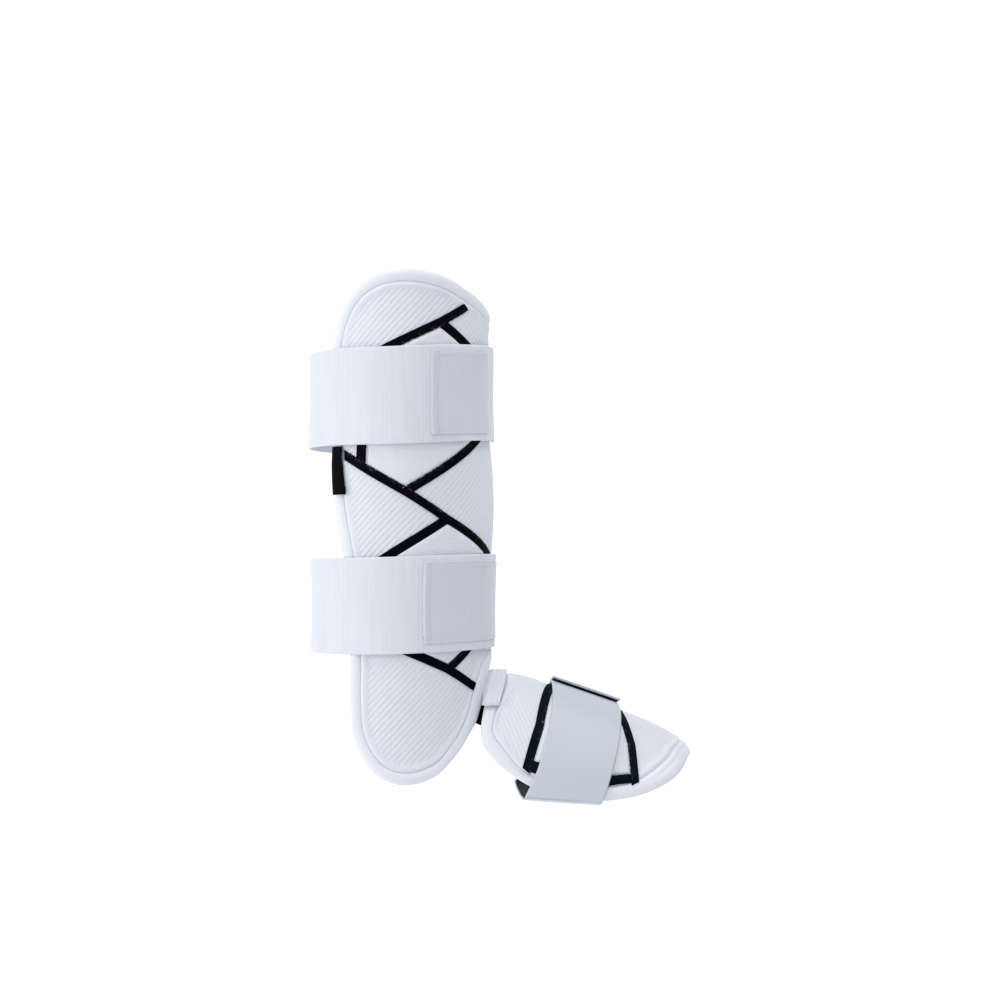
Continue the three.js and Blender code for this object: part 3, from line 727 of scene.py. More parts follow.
def open_spline(points: Sequence[Array], steps: int) -> Array:
    """An open centripetal spline through points.

    Args:
        points: the points.
        steps: spans between the samples, in all.

    Returns:
        The samples.
    """
    line = [2 * points[0] - points[1], *points, 2 * points[-1] - points[-2]]
    each = steps // (len(points) - 1)
    spans = [spline_span(line[i:i + 4], each) for i in range(len(points) - 1)]
    return np.vstack([*spans, points[-1][None]])


class Panel:
    """Rays from a spine inside a shield to its edge, so that rings can follow the edge inward."""

    EDGE_SAMPLES = 1500
    LEAST_SLANT = 0.45
    MOST_INSET = 0.8

    def __init__(self, surface: Surface, outline: Table, spine: Table, steps: tuple[int, int, int]) -> None:
        """Sets out the rays.

        Args:
            surface: the form that the panel lies on.
            outline: the edge's corners.
            spine: start and end of the line on which the rings close.
            steps: rays of each straight side, of the far end and of the near end.
        """
        self.surface, self.edge = surface, smooth_loop(outline, self.EDGE_SAMPLES)
        start, end = np.asarray(spine, float)
        along = unit(end - start)
        right = np.array([along[1], -along[0]])
        self.rays: list[tuple[Array, float]] = []
        for base, tip, side, rays in ((start, end, right, steps[1]), (end, start, -right, steps[2])):
            self._side(base, tip, side, steps[0])
            self._fan(tip, self._hit(tip, side), self._hit(tip, -side), rays)
        self.base = np.array([base for base, _ in self.rays])
        places = np.array([index for _, index in self.rays])
        here = self._at(places)
        self.reach = np.linalg.norm(here - self.base, axis=1)
        self.direction = (here - self.base) / self.reach[:, None]
        tangent = unit(self._at(places + 2) - self._at(places - 2))
        origin = surface.point(*here.T)
        inward = surface.point(*(here - self.direction).T) - origin
        beside = unit(surface.point(*(here + tangent).T) - origin)
        slant = np.linalg.norm(np.cross(inward, beside), axis=1)
        self.scale = 1 / np.maximum(slant, self.LEAST_SLANT)

    def _at(self, index: Array) -> Array:
        """Points of the edge.

        Args:
            index: sample numbers, which may be fractions.

        Returns:
            The points.
        """
        whole = np.floor(index).astype(int)
        share = (index - whole)[..., None]
        count = len(self.edge)
        return self.edge[whole % count] * (1 - share) + self.edge[(whole + 1) % count] * share

    def _hit(self, base: Array, direction: Array) -> float:
        """Where a ray from inside meets the edge.

        Args:
            base: the ray's start.
            direction: its direction.

        Returns:
            The sample number.
        """
        start = self.edge - base
        step = np.roll(self.edge, -1, 0) - self.edge
        turned = direction[0] * step[:, 1] - direction[1] * step[:, 0]
        share = (start[:, 0] * direction[1] - start[:, 1] * direction[0]) / turned
        away = (start[:, 0] * step[:, 1] - start[:, 1] * step[:, 0]) / turned
        found = np.flatnonzero((away > 0) & (share >= 0) & (share < 1))[0]
        return float(found + share[found])

    def _side(self, start: Array, end: Array, direction: Array, steps: int) -> None:
        """Adds parallel rays from a stretch of the spine."""
        bases = [start + (end - start) * i / steps for i in range(steps)]
        self.rays += [(base, self._hit(base, direction)) for base in bases]

    def _fan(self, base: Array, first: float, last: float, steps: int) -> None:
        """Adds rays from one end of the spine, evenly along the edge."""
        span = (last - first) % len(self.edge)
        self.rays += [(base, first + span * i / steps) for i in range(steps)]

    def places(self, inset: Array, share: float = 0.0) -> Array:
        """Coordinates of a ring.

        Args:
            inset: distance from the edge in millimetres, one number or one for each ray.
            share: share of the rest of the way to the spine.

        Returns:
            The coordinates, one pair for each ray.
        """
        edge_inset = np.minimum(inset * self.scale, self.MOST_INSET * self.reach)
        remaining = (self.reach - edge_inset) * (1 - share)
        return self.base + self.direction * remaining[:, None]

    def ring(self, inset: Array, share: float, lift: Array) -> tuple[Array, Array]:
        """Points of a ring, and its cloth coordinates without depth."""
        first, second = self.places(inset, share).T
        return self.surface.lifted(first, second, lift), self.surface.cloth(first, second)


def folded(lines: Sequence[Array], along: Array, depths: Sequence[Array], joined: bool) -> Shape:
    """Skins the lines of a cloth that is folded round an edge.

    Args:
        lines: lines of points along the edge, in order round the fold.
        along: places along the edge.
        depths: the third cloth coordinate of each line.
        joined: whether the edge closes.

    Returns:
        The closed shape.
    """
    gaps = [np.linalg.norm(after - before, axis=1).mean() for before, after in zip(lines, lines[1:])]
    around = np.concatenate([[0], np.cumsum(gaps)])
    cloth = [stacked(along, way, depth) for way, depth in zip(around, depths)]
    return loft(np.stack(lines, 1), np.stack(cloth, 1), joined)


@dataclass
class Shield:
    """A padded shield: a ribbed face, a smooth roll inside its seam and a cloth rim over its edge."""

    part: str
    surface: Surface
    outline: Table
    spine: Table
    steps: tuple[int, int, int]
    face: Finish
    rim_width: Callable[[Array, Array], Array]
    thickness: float = 9.0
    edge_thickness: float = 5.5
    swell: float = 0.0
    swell_rises: tuple[float, float] = (0, 14)
    swell_falls: tuple[float, float] = (38, 56)
    swell_until: float = 60.0

    def __post_init__(self) -> None:
        """Sets out the rays and measures the seam line."""
        self.panel = Panel(self.surface, self.outline, self.spine, self.steps)
        self.width = self.rim_width(*self.panel.places(0.0).T)
        self.seam = self.surface.point(*self.panel.places(self.width).T)

    def relief(self, inside: Array) -> Array:
        """Lift of the face at distances inside the seam."""
        return smooth_value(FACE_RELIEF, 1, np.asarray(inside, float))

    def inside(self, first: Array, second: Array) -> Array:
        """Distance of places of the face from the seam.

        Args:
            first: first coordinates.
            second: second coordinates.

        Returns:
            The distances in millimetres.
        """
        points = self.surface.point(np.ravel(first), np.ravel(second))
        gaps = np.linalg.norm(points[:, None, :] - self.seam[None], axis=2).min(axis=1)
        return gaps.reshape(np.shape(first))

    def build_pad(self) -> None:
        """Builds the pad with its ribbed face and its soft inner side."""
        edge, count = -self.edge_thickness, len(self.panel.reach)
        field = self.relief(FIELD_INSIDE)
        rows = [(self.width + FIELD_STARTS, share, field) for share in np.linspace(1, 0, FIELD_RINGS)]
        rows += [(self.width + step, 0.0, self.relief(step)) for step in FACE_STEPS]
        faced = len(rows)
        rows += [(2.6, 0.0, -1.1), (1.9, 0.0, edge / 2), (2.6, 0.0, edge + 0.6), (4.6, 0.0, edge),
                 (13.0, 0.0, edge - 1.2), (19.0, 0.0, -7.8)]
        rows += [(26.0, share, -self.thickness) for share in np.linspace(0, 1, LINING_RINGS)]
        points, cloth = [], []
        for inset, share, lift in rows:
            ring, flat = self.panel.ring(inset, share, lift)
            points.append(ring)
            cloth.append(np.column_stack([flat, inset - self.width + share * SPINE_DEPTH]))
        inner = [i >= faced for i in range(len(rows) - 1) for _ in range(count)]
        shape = Shape(np.vstack(points), grid_faces(len(rows), count, False), np.vstack(cloth), inner)
        pad = add_piece(f"{self.part}_pad", shape, self.face, [f"{self.part}_shield"], Finish.LINING)

    def build_rim(self) -> None:
        """Builds the cloth rim that is folded over the edge and sewn down at the seam."""
        edge, wide = -self.edge_thickness, self.width
        crease = 0.45 * smooth_step(wide, 10.9, 11.9)
        here = self.panel.places(0.0)
        level = smooth_step(here[:, 1], *self.swell_rises) - smooth_step(here[:, 1], *self.swell_falls)
        swell = self.swell * level * (here[:, 0] < self.swell_until)
        rows = [
            (wide + 0.15, -0.3), (wide - 0.15, 0.1), (wide - 0.6, 0.55), (wide - 1.4, 0.95),
            (wide - 2.4, 1.15), (0.62 * wide + 0.6, 1.25), (0.62 * wide, 1.28 - crease),
            (0.62 * wide - 0.6, 1.3), (0.45 * wide, 1.38), (2.9 - swell / 2, 1.2), (1.7 - swell, 0.8),
            (0.8 - swell, 0.1), (0.2 - swell, -0.95), (-swell, edge / 2), (0.2 - swell, edge + 0.95),
            (0.8 - swell, edge - 0.1), (1.9 - swell / 2, edge - 1.0), (3.6, edge - 1.55),
            (0.7 * wide, edge - 1.9), (wide, edge - 1.95), (wide + 0.3, edge - 1.4), (wide, edge - 0.75),
            (0.5 * wide, edge - 0.6), (1.9, edge + 0.2), (1.5, edge / 2), (1.9, -0.6), (0.5 * wide, 0.1),
            (wide - 1.2, -0.15),
        ]
        lines = [self.panel.ring(inset, 0.0, lift)[0] for inset, lift in rows]
        run = path_length(self.surface.point(*here.T))
        shape = folded(lines, run, [lift for _, lift in rows], True)
        add_piece(f"{self.part}_rim", shape, Finish.RIM, [f"{self.part}_binding"])


def shin_rim_width(turn: Array, height: Array) -> Array:
    """The shin rim is a little wider at the front of the ankle."""
    level = smooth_step(height, -20, 12) - smooth_step(height, 48, 70)
    return 8.5 + 2.0 * level * (1 - smooth_step(turn, 50, 75))


def foot_rim_width(along: Array, _turn: Array) -> Array:
    """The foot rim narrows by the arch and widens towards the toe."""
    waist = smooth_step(along, 66, 80) - smooth_step(along, 96, 122)
    return 9.5 - 3.3 * waist + 3.0 * smooth_step(along, 150, 190)


def ribbon_section(half: Array, thickness: float, across: int, swell: float = 0.0) -> tuple[Array, Array]:
    """Section of a ribbon with rounded edges.

    Args:
        half: half the width at each station.
        thickness: the ribbon's thickness.
        across: spans across the width.
        swell: extra height in the middle.

    Returns:
        Offsets across and heights, one row for each station.
    """
    share = np.cos(np.linspace(0, math.pi, across + 1))
    rounding = min(thickness / 2, 0.8)
    flat = half - rounding
    rows = [(value * flat, thickness + swell * (1 - value ** 2)) for value in share[:-1]]
    rows += [(-flat - out * rounding, up * thickness) for out, up in ROUND_EDGE]
    rows += [(value * flat, 0.0) for value in share[:0:-1]]
    rows += [(flat + out * rounding, up * thickness) for out, up in ROUND_EDGE[:0:-1]]
    offsets = np.array([offset for offset, _ in rows]).T
    return offsets, np.broadcast_to([height for _, height in rows], offsets.shape)


def line_value(places: Array, values: Array, at: Array) -> Array:
    """Reads a straight-sided line, which goes on straight past its ends.

    Args:
        places: places along the line, rising or falling.
        values: the values there.
        at: where to read it.

    Returns:
        The values.
    """
    order = np.argsort(places)
    xs, ys = places[order], values[order]
    i = np.clip(np.searchsorted(xs, at) - 1, 0, len(xs) - 2)
    return ys[i] + (ys[i + 1] - ys[i]) * (at - xs[i]) / (xs[i + 1] - xs[i])


@dataclass
class Band:
    """A black film band along a centre line on a shield."""

    name: str
    line: Table
    width: float
    scale: tuple[float, float] = (1, 1)
    ragged: int = 0
    tear: float = 1.0
    meets: tuple[str, str] = ("", "")
    slopes: tuple[float, float] = (0.0, 0.0)
    thickness: float = 0.7
    end_reach: float = 5.0

    def build(self, shield: Shield, finish: Finish, slot: str, others: dict[str, "Band"]) -> None:
        """Builds the band.

        Args:
            shield: the shield that carries it.
            finish: its finish.
            slot: not used.
            others: the bands by name, for the ends that meet one.
        """
        corners = np.asarray(self.line, float) * self.scale
        reach = path_length(corners)
        along = spread(0, reach[-1], 0.5 if self.ragged else 0.9)
        offsets, heights = ribbon_section(np.full_like(along, self.width / 2), self.thickness, 10)
        shift = [self._end_shift(corners, end, offsets, others) for end in (0, 1)]
        places = along[:, None] - shift[0] * smooth_step(along, self.end_reach, 0)[:, None]
        places = places + shift[1] * smooth_step(along, reach[-1] - self.end_reach, reach[-1])[:, None]
        if self.ragged:
            offsets = offsets - self._fringe(along, offsets)
        centre, run = self._line_at(corners, reach, places)
        flat = centre + stacked(-run[..., 1], run[..., 0]) * offsets[..., None]
        first, second = flat[..., 0] / self.scale[0], flat[..., 1] / self.scale[1]
        lift = shield.relief(shield.inside(first, second)) + CLEARANCE + heights
        points = shield.surface.lifted(first, second, lift)
        fray = offsets * self.ragged + 0.2 if self.ragged else -1.0
        add_piece(self.name, loft(points, stacked(places, offsets, fray)), finish, [self.name])

    def crossing(self, known: int, at: Array) -> Array:
        """The centre line's other coordinate, where the known one has the values of at."""
        line = np.asarray(self.line, float)
        return line_value(line[:, known], line[:, 1 - known], at)

    def _fringe(self, along: Array, offsets: Array) -> Array:
        """How far the ragged side is torn back.

        Args:
            along: places along the band.
            offsets: places across it.

        Returns:
            The distances, towards the ragged side.
        """
        side = np.clip(offsets * self.ragged / (self.width / 2), 0, 1) ** 5
        seed = sum(map(ord, self.name))
        teeth = sum(size * wobble(seed + i, along, wave) for i, (size, wave) in enumerate(TEETH))
        return self.ragged * side * (0.2 + np.abs(teeth[:, None])) * self.tear

    @staticmethod
    def _line_at(corners: Array, reach: Array, places: Array) -> tuple[Array, Array]:
        """Reads the centre line, which goes on straight past its ends.

        Args:
            corners: its corners in millimetres.
            reach: their places along it.
            places: where to read it.

        Returns:
            Points and directions, softened round the corners.
        """
        i = np.clip(np.searchsorted(reach, places, side="right") - 1, 0, len(reach) - 2)
        run = np.diff(corners, axis=0) / np.diff(reach)[:, None]
        centre = corners[i] + run[i] * (places - reach[i])[..., None]
        return centre, unit(along_line(places, (reach[1:] + reach[:-1]) / 2, run))

    def _end_shift(self, corners: Array, end: int, offsets: Array, others: dict[str, "Band"]) -> Array:
        """How far each line of the band runs past an end, to meet its neighbour or to follow a slope.

        Args:
            corners: the centre line's corners in millimetres.
            end: 0 for the first end, 1 for the last.
            offsets: places across the band.
            others: the bands by name.

        Returns:
            The distances, one for each place across at every station.
        """
        if not self.meets[end]:
            return self.slopes[end] * offsets
        tip, before = (corners[-1], corners[-2]) if end else (corners[0], corners[1])
        run = unit(tip - before)
        side = np.array([-run[1], run[0]]) * (1 if end else -1)
        other = others[self.meets[end]]
        line = np.asarray(other.line, float) * self.scale
        i = int(np.linalg.norm((line[1:] + line[:-1]) / 2 - tip, axis=1).argmin())
        way = unit(line[i + 1] - line[i])
        out = np.array([-way[1], way[0]])
        out *= np.sign(out @ run)
        clear = other.width / 2 + (-0.35 * other.tear if other.ragged else 0.12)
        return ((line[i] - tip) @ out - clear - offsets * (side @ out)) / (run @ out)


@dataclass
class LoopPatch:
    """A patch of loop pile between two edge lines on a shield."""

    name: str
    shield: Shield
    low: Array
    high: Array
    sag: float = 0.0
    thickness: float = 0.95
    spans: int = 45

    def build(self) -> None:
        """Builds the patch as a thick sheet with an uneven top."""
        share = np.linspace(0, 1, self.spans + 1)
        made = np.random.default_rng(11)
        steps = np.arange(len(self.low))
        grid = self.low[:, None] * (1 - share[:, None]) + self.high[:, None] * share[:, None]
        first, second = grid[..., 0], grid[..., 1]
        last = smooth_step(steps, steps[-1] - 7, steps[-1])[:, None]
        second = second + self.sag * last * (0.45 + 0.55 * np.sin(math.pi * share ** 1.4))
        face = self.shield.relief(self.shield.inside(first, second)) + 0.1
        rim = np.minimum(np.minimum(steps, steps[::-1])[:, None], self.spans * np.minimum(share, 1 - share))
        pile = self.thickness * np.clip(0.55 + 0.45 * rim, 0, 1) + made.normal(0, 0.05, first.shape)
        upper, lower = (self.shield.surface.lifted(first, second, face + lift) for lift in (pile, 0.0))
        flat = np.concatenate([self.shield.surface.cloth(first, second), 0 * first[..., None]], -1)
        points = np.concatenate([upper, lower[:, ::-1]], 1)
        cloth = np.concatenate([flat, flat[:, ::-1]], 1)
        add_piece(self.name, loft(points, cloth), Finish.PILE, [self.name])


@dataclass(frozen=True)
class Stitches:
    """A row of small raised stitches on the shin form."""

    length: float = 1.9
    pitch: float = 3.0
    width: float = 0.55
    swell: tuple[float, ...] = (0.25, 0.8, 1.0, 0.8, 0.25)
    degree: float = 1.03

    def row(self, corners: Table, lift: float) -> Shape:
        """Builds a row along a line.

        Args:
            corners: the line's corners, as turns and heights.
            lift: height of the cloth that is sewn.

        Returns:
            The stitches as one shape.
        """
        line, size = np.asarray(corners, float), np.array([self.degree, 1.0])
        reach = path_length(line * size)
        turn = np.linspace(0, 2 * math.pi, 6, endpoint=False)
        offset = np.outer(self.swell, np.cos(turn)) * self.width / 2
        rise = np.outer(self.swell, np.sin(turn)) * self.width * 0.45
        stitches = []
        for middle in np.arange(self.pitch / 2, reach[-1], self.pitch):
            along = middle + np.linspace(-0.5, 0.5, len(self.swell)) * self.length
            centre = along_line(along, reach, line)
            run = unit((centre[-1] - centre[0]) * size)
            side = np.array([-run[1], run[0]]) / size
            first, second = (centre[:, axis:axis + 1] + offset * side[axis] for axis in (0, 1))
            points = SHIN.lifted(first, second, lift + rise)
            stitches.append(loft(points, stacked(along[:, None], offset, rise)))
        return reduce(Shape.joined, stitches)


@dataclass
class CalfStrap:
    """An elastic strap round the calf, its sewn tab and the stitches."""

    part: str
    height: float
    free_end: float
    leaves_pad: float
    tab: tuple[float, float]
    tab_width: float
    seed: int
    bulge: float = 0.0
    tab_corner: float = 2.2
    rise: float = 0.0
    rises_from: float = 105.0
    width: float = 63.5
    thickness: float = 1.6
    layer: float = 2.0
    corner: float = 9.0
    sewn_end: float = 312.0
    sewn_lift: float = -9.6
    sinks_until: float = 286.0
    radius: float = 60.0
    tab_thickness: float = 0.75
    hem: float = 2.6
    rear_seam: float = 4.6
    front_seam: float = 3.5
    seam_behind: float = 3.0

    def level(self, turn: Array) -> Array:
        """Height of the strap's middle line, which climbs towards the free end."""
        return self.height + self.rise * smooth_step(turn, self.rises_from, 0)

    def underside(self, turn: Array) -> Array:
        """Height of the strap's underside over the form, which sinks a little where it leaves the pad."""
        inward = (self.sewn_lift - self.layer) * smooth_step(turn, self.leaves_pad, self.sinks_until)
        return self.layer + inward - 0.9 * bell(turn, self.leaves_pad + 6, 5)

    def laid(self, turn: Array, offsets: Array, lift: Array, edge: Array) -> Shape:
        """Lays a ribbon along the strap.

        Args:
            turn: turn of each station.
            offsets: places across the ribbon.
            lift: heights over the strap's underside.
            edge: distances from the ribbon's edges.

        Returns:
            The ribbon.
        """
        slack = 0.3 * wobble(self.seed, turn, 31)[:, None] * (offsets / (self.width / 2)) ** 2
        points = SHIN.lifted(turn[:, None], self.level(turn)[:, None] + offsets,
                             self.underside(turn)[:, None] + lift + slack)
        return loft(points, stacked(np.radians(turn)[:, None] * self.radius, offsets, edge))

    def build(self) -> None:
        """Builds the strap, the tab and the stitching."""
        start = self.free_end + self.corner * (1 - np.cos(np.linspace(0, math.pi / 2, 7)))
        turn = np.concatenate([start[:-1], spread(start[-1], self.sewn_end, 1.1)])
        short = np.maximum(self.corner - (turn - self.free_end), 0)
        half = self.width / 2 - self.corner + np.sqrt(self.corner ** 2 - short ** 2)
        offsets, heights = ribbon_section(half, self.thickness, 26)
        webbing = self.laid(turn, offsets, heights, self.width / 2 - np.abs(offsets))
        for name, shape, finish, nodes in (
                ("strap_webbing", webbing, Finish.ELASTIC, [f"{self.part}_calf_strap"]),
                ("tab_cloth", self._tab(), Finish.TAB, [f"{self.part}_strap_tab"]),
                ("tab_stitches", self._stitches(), Finish.THREAD, [])):
            add_piece(f"{self.part}_{name}", shape, finish, nodes)

    def _tab(self) -> Shape:
        """Builds the stiffer tab with a raised rear edge, a sunk seam and a rounded front end.

        Returns:
            The tab.
        """
        turn = spread(*self.tab, 0.8)
        half = np.full_like(turn, self.tab_width / 2)
        for near, corner in ((turn - turn[0], self.tab_corner), (turn[-1] - turn, 1.6)):
            short = 1 - np.minimum(near / corner, 1)
            half -= corner * (1 - np.sqrt(1 - short ** 2))
        offsets, heights = ribbon_section(half, self.tab_thickness, 20)
        edge = half[:, None] - np.abs(offsets)
        behind = self.tab[1] - turn
        ridge = 0.55 * bell(behind, 1.6, 1.0) - 0.35 * smooth_step(behind, 1.2, 0)
        seams = -0.32 * bell(behind, self.rear_seam, 1.2)[:, None] - 0.3 * bell(edge, self.hem, 0.7)
        relief = (heights > self.tab_thickness / 2) * (ridge[:, None] + seams)
        puff = self.bulge * smooth_step(turn, 12, -12)[:, None] * (1 - (offsets / (self.tab_width / 2)) ** 2)
        return self.laid(turn, offsets, self.thickness + 0.15 + heights + relief + puff, edge)

    def _stitches(self) -> Shape:
        """Builds the stitches round the tab and behind its rear edge.

        Returns:
            The stitches.
        """
        half = self.tab_width / 2 - self.hem
        top = self.layer + self.thickness
        turns = np.linspace(self.tab[1] - self.rear_seam, self.tab[0] + self.front_seam, 9)
        upper, lower = (np.column_stack([turns, self.level(turns) + side]) for side in (half, -half))
        around = Stitches().row(np.vstack([lower[:1], upper, lower[::-1]]), top + self.tab_thickness)
        behind = self.tab[1] + self.seam_behind
        middle = float(self.level(np.array(behind)))
        ends = ((behind, middle - half - 1), (behind, middle + half + 1))
        return around.joined(Stitches().row(ends, top + 0.05))


@dataclass
class SideTag:
    """The plain black tag folded over the rear rim."""

    low: float = 161.5
    high: float = 193.0
    width: float = 10.0
    flare: float = 1.8

    def build(self, shield: Shield) -> None:
        """Builds the tag.

        Args:
            shield: the shin shield.
        """
        panel, edge = shield.panel, -shield.edge_thickness
        rear = np.flatnonzero(panel.direction[:, 0] > 0.99)
        rear = rear[np.argsort(panel.base[rear, 1])]
        height = spread(self.low, self.high, 1.0)
        reach, scale = (np.interp(height, panel.base[rear, 1], of_ray[rear])
                        for of_ray in (panel.reach, panel.scale))
        frayed = 0.35 * wobble(5, height, 3)
        wide = self.width + self.flare * smooth_step(height, self.high - 4, self.low)
        rows = [
            (wide + frayed, 2.35), (0.7 * wide, 2.62), (0.4 * wide, 2.55), (2.6, 2.1), (1.1, 1.45),
            (-0.1, 0.5), (-0.9, -0.9), (-1.15, edge / 2), (-0.9, edge + 0.9), (-0.1, edge - 0.7),
            (1.4, edge - 1.7), (3.4, edge - 2.4), (self.width, edge - 3.0), (self.width, edge - 2.3),
            (3.4, edge - 1.9), (1.4, edge - 1.1), (0.3, edge), (-0.45, edge / 2), (0.3, 0.1), (1.4, 1.1),
            (2.9, 1.65), (0.7 * wide, 2.0), (0.9 * wide, 1.95), (wide + frayed - 0.1, 1.9),
        ]
        spine = shield.spine[0][0]
        lines = [SHIN.lifted(spine + reach - inset * scale, height, lift) for inset, lift in rows]
        shape = folded(lines, height, [0.0] * len(rows), False)
        shape.cloth = shape.cloth[:, (1, 0, 2)]
        add_piece("side_tag_tape", shape, Finish.TAPE, ["side_tag"])


@dataclass
class FootStrap:
    """The smooth strap over the foot shield and under the sole, dark inside."""

    rear: tuple[float, float, float] = (103.5, 83.0, 1.68)
    front: tuple[float, float, float] = (149.5, 134.0, 1.4)
    slant: float = 6.0
    start: float = -8.0
    end: float = 363.0
    layer: float = 2.1
    thickness: float = 1.5
    sag: float = 1.5
    rise: tuple[float, float] = (4.5, 1.2)
    width: float = 46.0
    radius: float = 62.0
    spans: int = 22
    lap: tuple[float, float] = (300, 345)
    lap_gap: float = 0.8
    curl: float = 1.3
    curl_turn: float = 9.0

    def point(self, turn: Array, share: Array, lift: Array) -> Array:
        """Points of the strap.

        Args:
            turn: turn round the foot from the crest.
            share: place across, from the rear edge to the front edge.
            lift: height over the form.

        Returns:
            The points, in millimetres.
        """
        angle = np.radians(turn)
        upper = np.maximum(np.cos(angle), 0)
        slant = self.slant * (1 - np.sin(angle)) / 2
        rear, front = (sole + (crest - sole) * (1 - (1 - upper) ** bow) - slant
                       for crest, sole, bow in (self.rear, self.front))
        along = rear + (front - rear) * share
        under = smooth_step(180 - np.abs(180 - turn), 74, 94)
        rise = under * (self.rise[0] + (self.rise[1] - self.rise[0]) * share)
        over = FOOT.lifted(along, turn, lift)
        over[..., 2] += rise
        width = smooth_value(FOOT_FORM, 2, along) + lift
        height = FOOT_BASE + (self.sag + lift) * np.cos(angle) + rise
        return np.where((upper > 0)[..., None], over, stacked(along, -width * np.sin(angle), height))

    def build(self) -> None:
        """Builds the strap with its dark inner side and the lifted end of its lap."""
        stretches = ((self.start, 80, 1.6), (80, 100, 1.0), (100, 260, 3.0), (260, 280, 1.0),
                     (280, self.end, 1.6))
        turn = np.concatenate([[self.start], *(spread(*stretch)[1:] for stretch in stretches)])
        lap = smooth_step(turn, *self.lap) * (self.thickness + self.lap_gap)
        curl = self.curl * smooth_step(turn, self.end - self.curl_turn, self.end) ** 2
        across, tops = ribbon_section(np.full_like(turn, self.width / 2), self.thickness, self.spans, 0.25)
        lift = (self.layer + lap + curl)[:, None] + tops
        points = self.point(turn[:, None], 0.5 - across / self.width, lift)
        cloth = stacked(np.radians(turn)[:, None] * self.radius, across, tops)
        rounded = len(ROUND_EDGE)
        shape = loft(points, cloth, inner=range(self.spans + rounded - 1, across.shape[1] - rounded))
        add_piece("foot_strap_cloth", shape, Finish.FOOT_STRAP, ["foot_strap"],
                  Finish.STRAP_INSIDE)


# Lines of the white elastic link: turn, edge and lap on the foot; sewn and edge places on the shin; lift
ELASTIC_LINK: Table = (
    (-25, 63, 9, -14, 64, -14, 47, -9), (0, 61.5, 10, 2, 60, 1, 43.4, -9),
    (22, 60.8, 10, 12, 52, 4, 35.5, -6), (41, 57, 9.5, 21, 38, 6.5, 24.5, -1.2),
)

# Lines of the black link strap: sewn place, edge place and lift on the shin, place on the foot
STRAP_LINK: Table = ((50, 28, 17.5, 22, -5, 72, 42), (52, 10, 26, 9.5, -5, 72, 60))


@dataclass
class Links:
    """The white puckered elastic and the black strap that join the shields."""

    inside: float = -10.6
    on_foot: float = 2.4
    thickness: float = 1.2
    elastic_steps: int = 60
    strap_steps: int = 36
    puckers_rise: tuple[float, float] = (24, 34)
    puckers_fall: tuple[float, float] = (61, 58)
    pucker: float = 0.42

    def _sheet(self, lines: Array, pucker: Array) -> Shape:
        """Thickens rows of points to one side.

        Args:
            lines: rows by points along them by three.
            pucker: extra height at each point.

        Returns:
            The closed shape.
        """
        across = np.gradient(lines, axis=0)
        normal = unit(np.cross(across, np.gradient(lines, axis=1)))
        low = lines + normal * (pucker * 0.6)[..., None]
        high = lines + normal * (self.thickness + pucker)[..., None]
        side = np.arange(len(lines)) * float(np.linalg.norm(across, axis=-1).mean())
        flat = stacked(path_length(lines.mean(0)), side[:, None], 5.0)
        points, cloth = (np.concatenate(pair, 0).transpose(1, 0, 2)
                         for pair in ((high, low[::-1]), (flat, flat[::-1])))
        return loft(points, cloth)

    def build(self) -> None:
        """Builds both links."""
        turns = spread(ELASTIC_LINK[0][0], ELASTIC_LINK[-1][0], 1.5)
        edge, lap, sewn, sewn_height, over, over_height, lift = (
            smooth_value(ELASTIC_LINK, column, turns) for column in range(1, 8))
        lines = self._lines((
            SHIN.lifted(sewn, sewn_height, self.inside), SHIN.lifted(over, over_height, lift),
            FOOT.lifted(edge, turns, self.on_foot), FOOT.lifted(edge + lap, turns, self.on_foot),
        ), self.elastic_steps)
        steps = np.arange(lines.shape[1])
        side = np.arange(len(turns)) * 1.2
        shown = smooth_step(steps, *self.puckers_rise) * smooth_step(steps, *self.puckers_fall)
        waves = np.sin(steps * 0.95 + 0.9 * wobble(3, side, 17)[:, None])
        pucker = self.pucker * waves * (0.7 + 0.3 * wobble(8, side, 9)[:, None]) * shown + 0.12
        elastic = self._sheet(lines, pucker)
        add_piece("puckered_elastic", elastic, Finish.ELASTIC, ["ankle_elastic"])
        at = np.array(STRAP_LINK, float).T
        upper, lower = self._lines((
            SHIN.lifted(at[0], at[1], self.inside), SHIN.lifted(at[2], at[3], at[4]),
            FOOT.lifted(at[5], at[6], self.inside),
        ), self.strap_steps)
        rows = np.array([upper * (1 - share) + lower * share for share in np.linspace(0, 1, 13)])
        tape = self._sheet(rows, np.zeros(rows.shape[:2]))
        add_piece("link_strap_tape", tape, Finish.TAPE, ["ankle_strap"])

    @staticmethod
    def _lines(stops: Sequence[Array], steps: int) -> Array:
        """Lines of a link, each a spline through one point of every row of stops."""
        return np.array([open_spline(points, steps) for points in zip(*stops)])


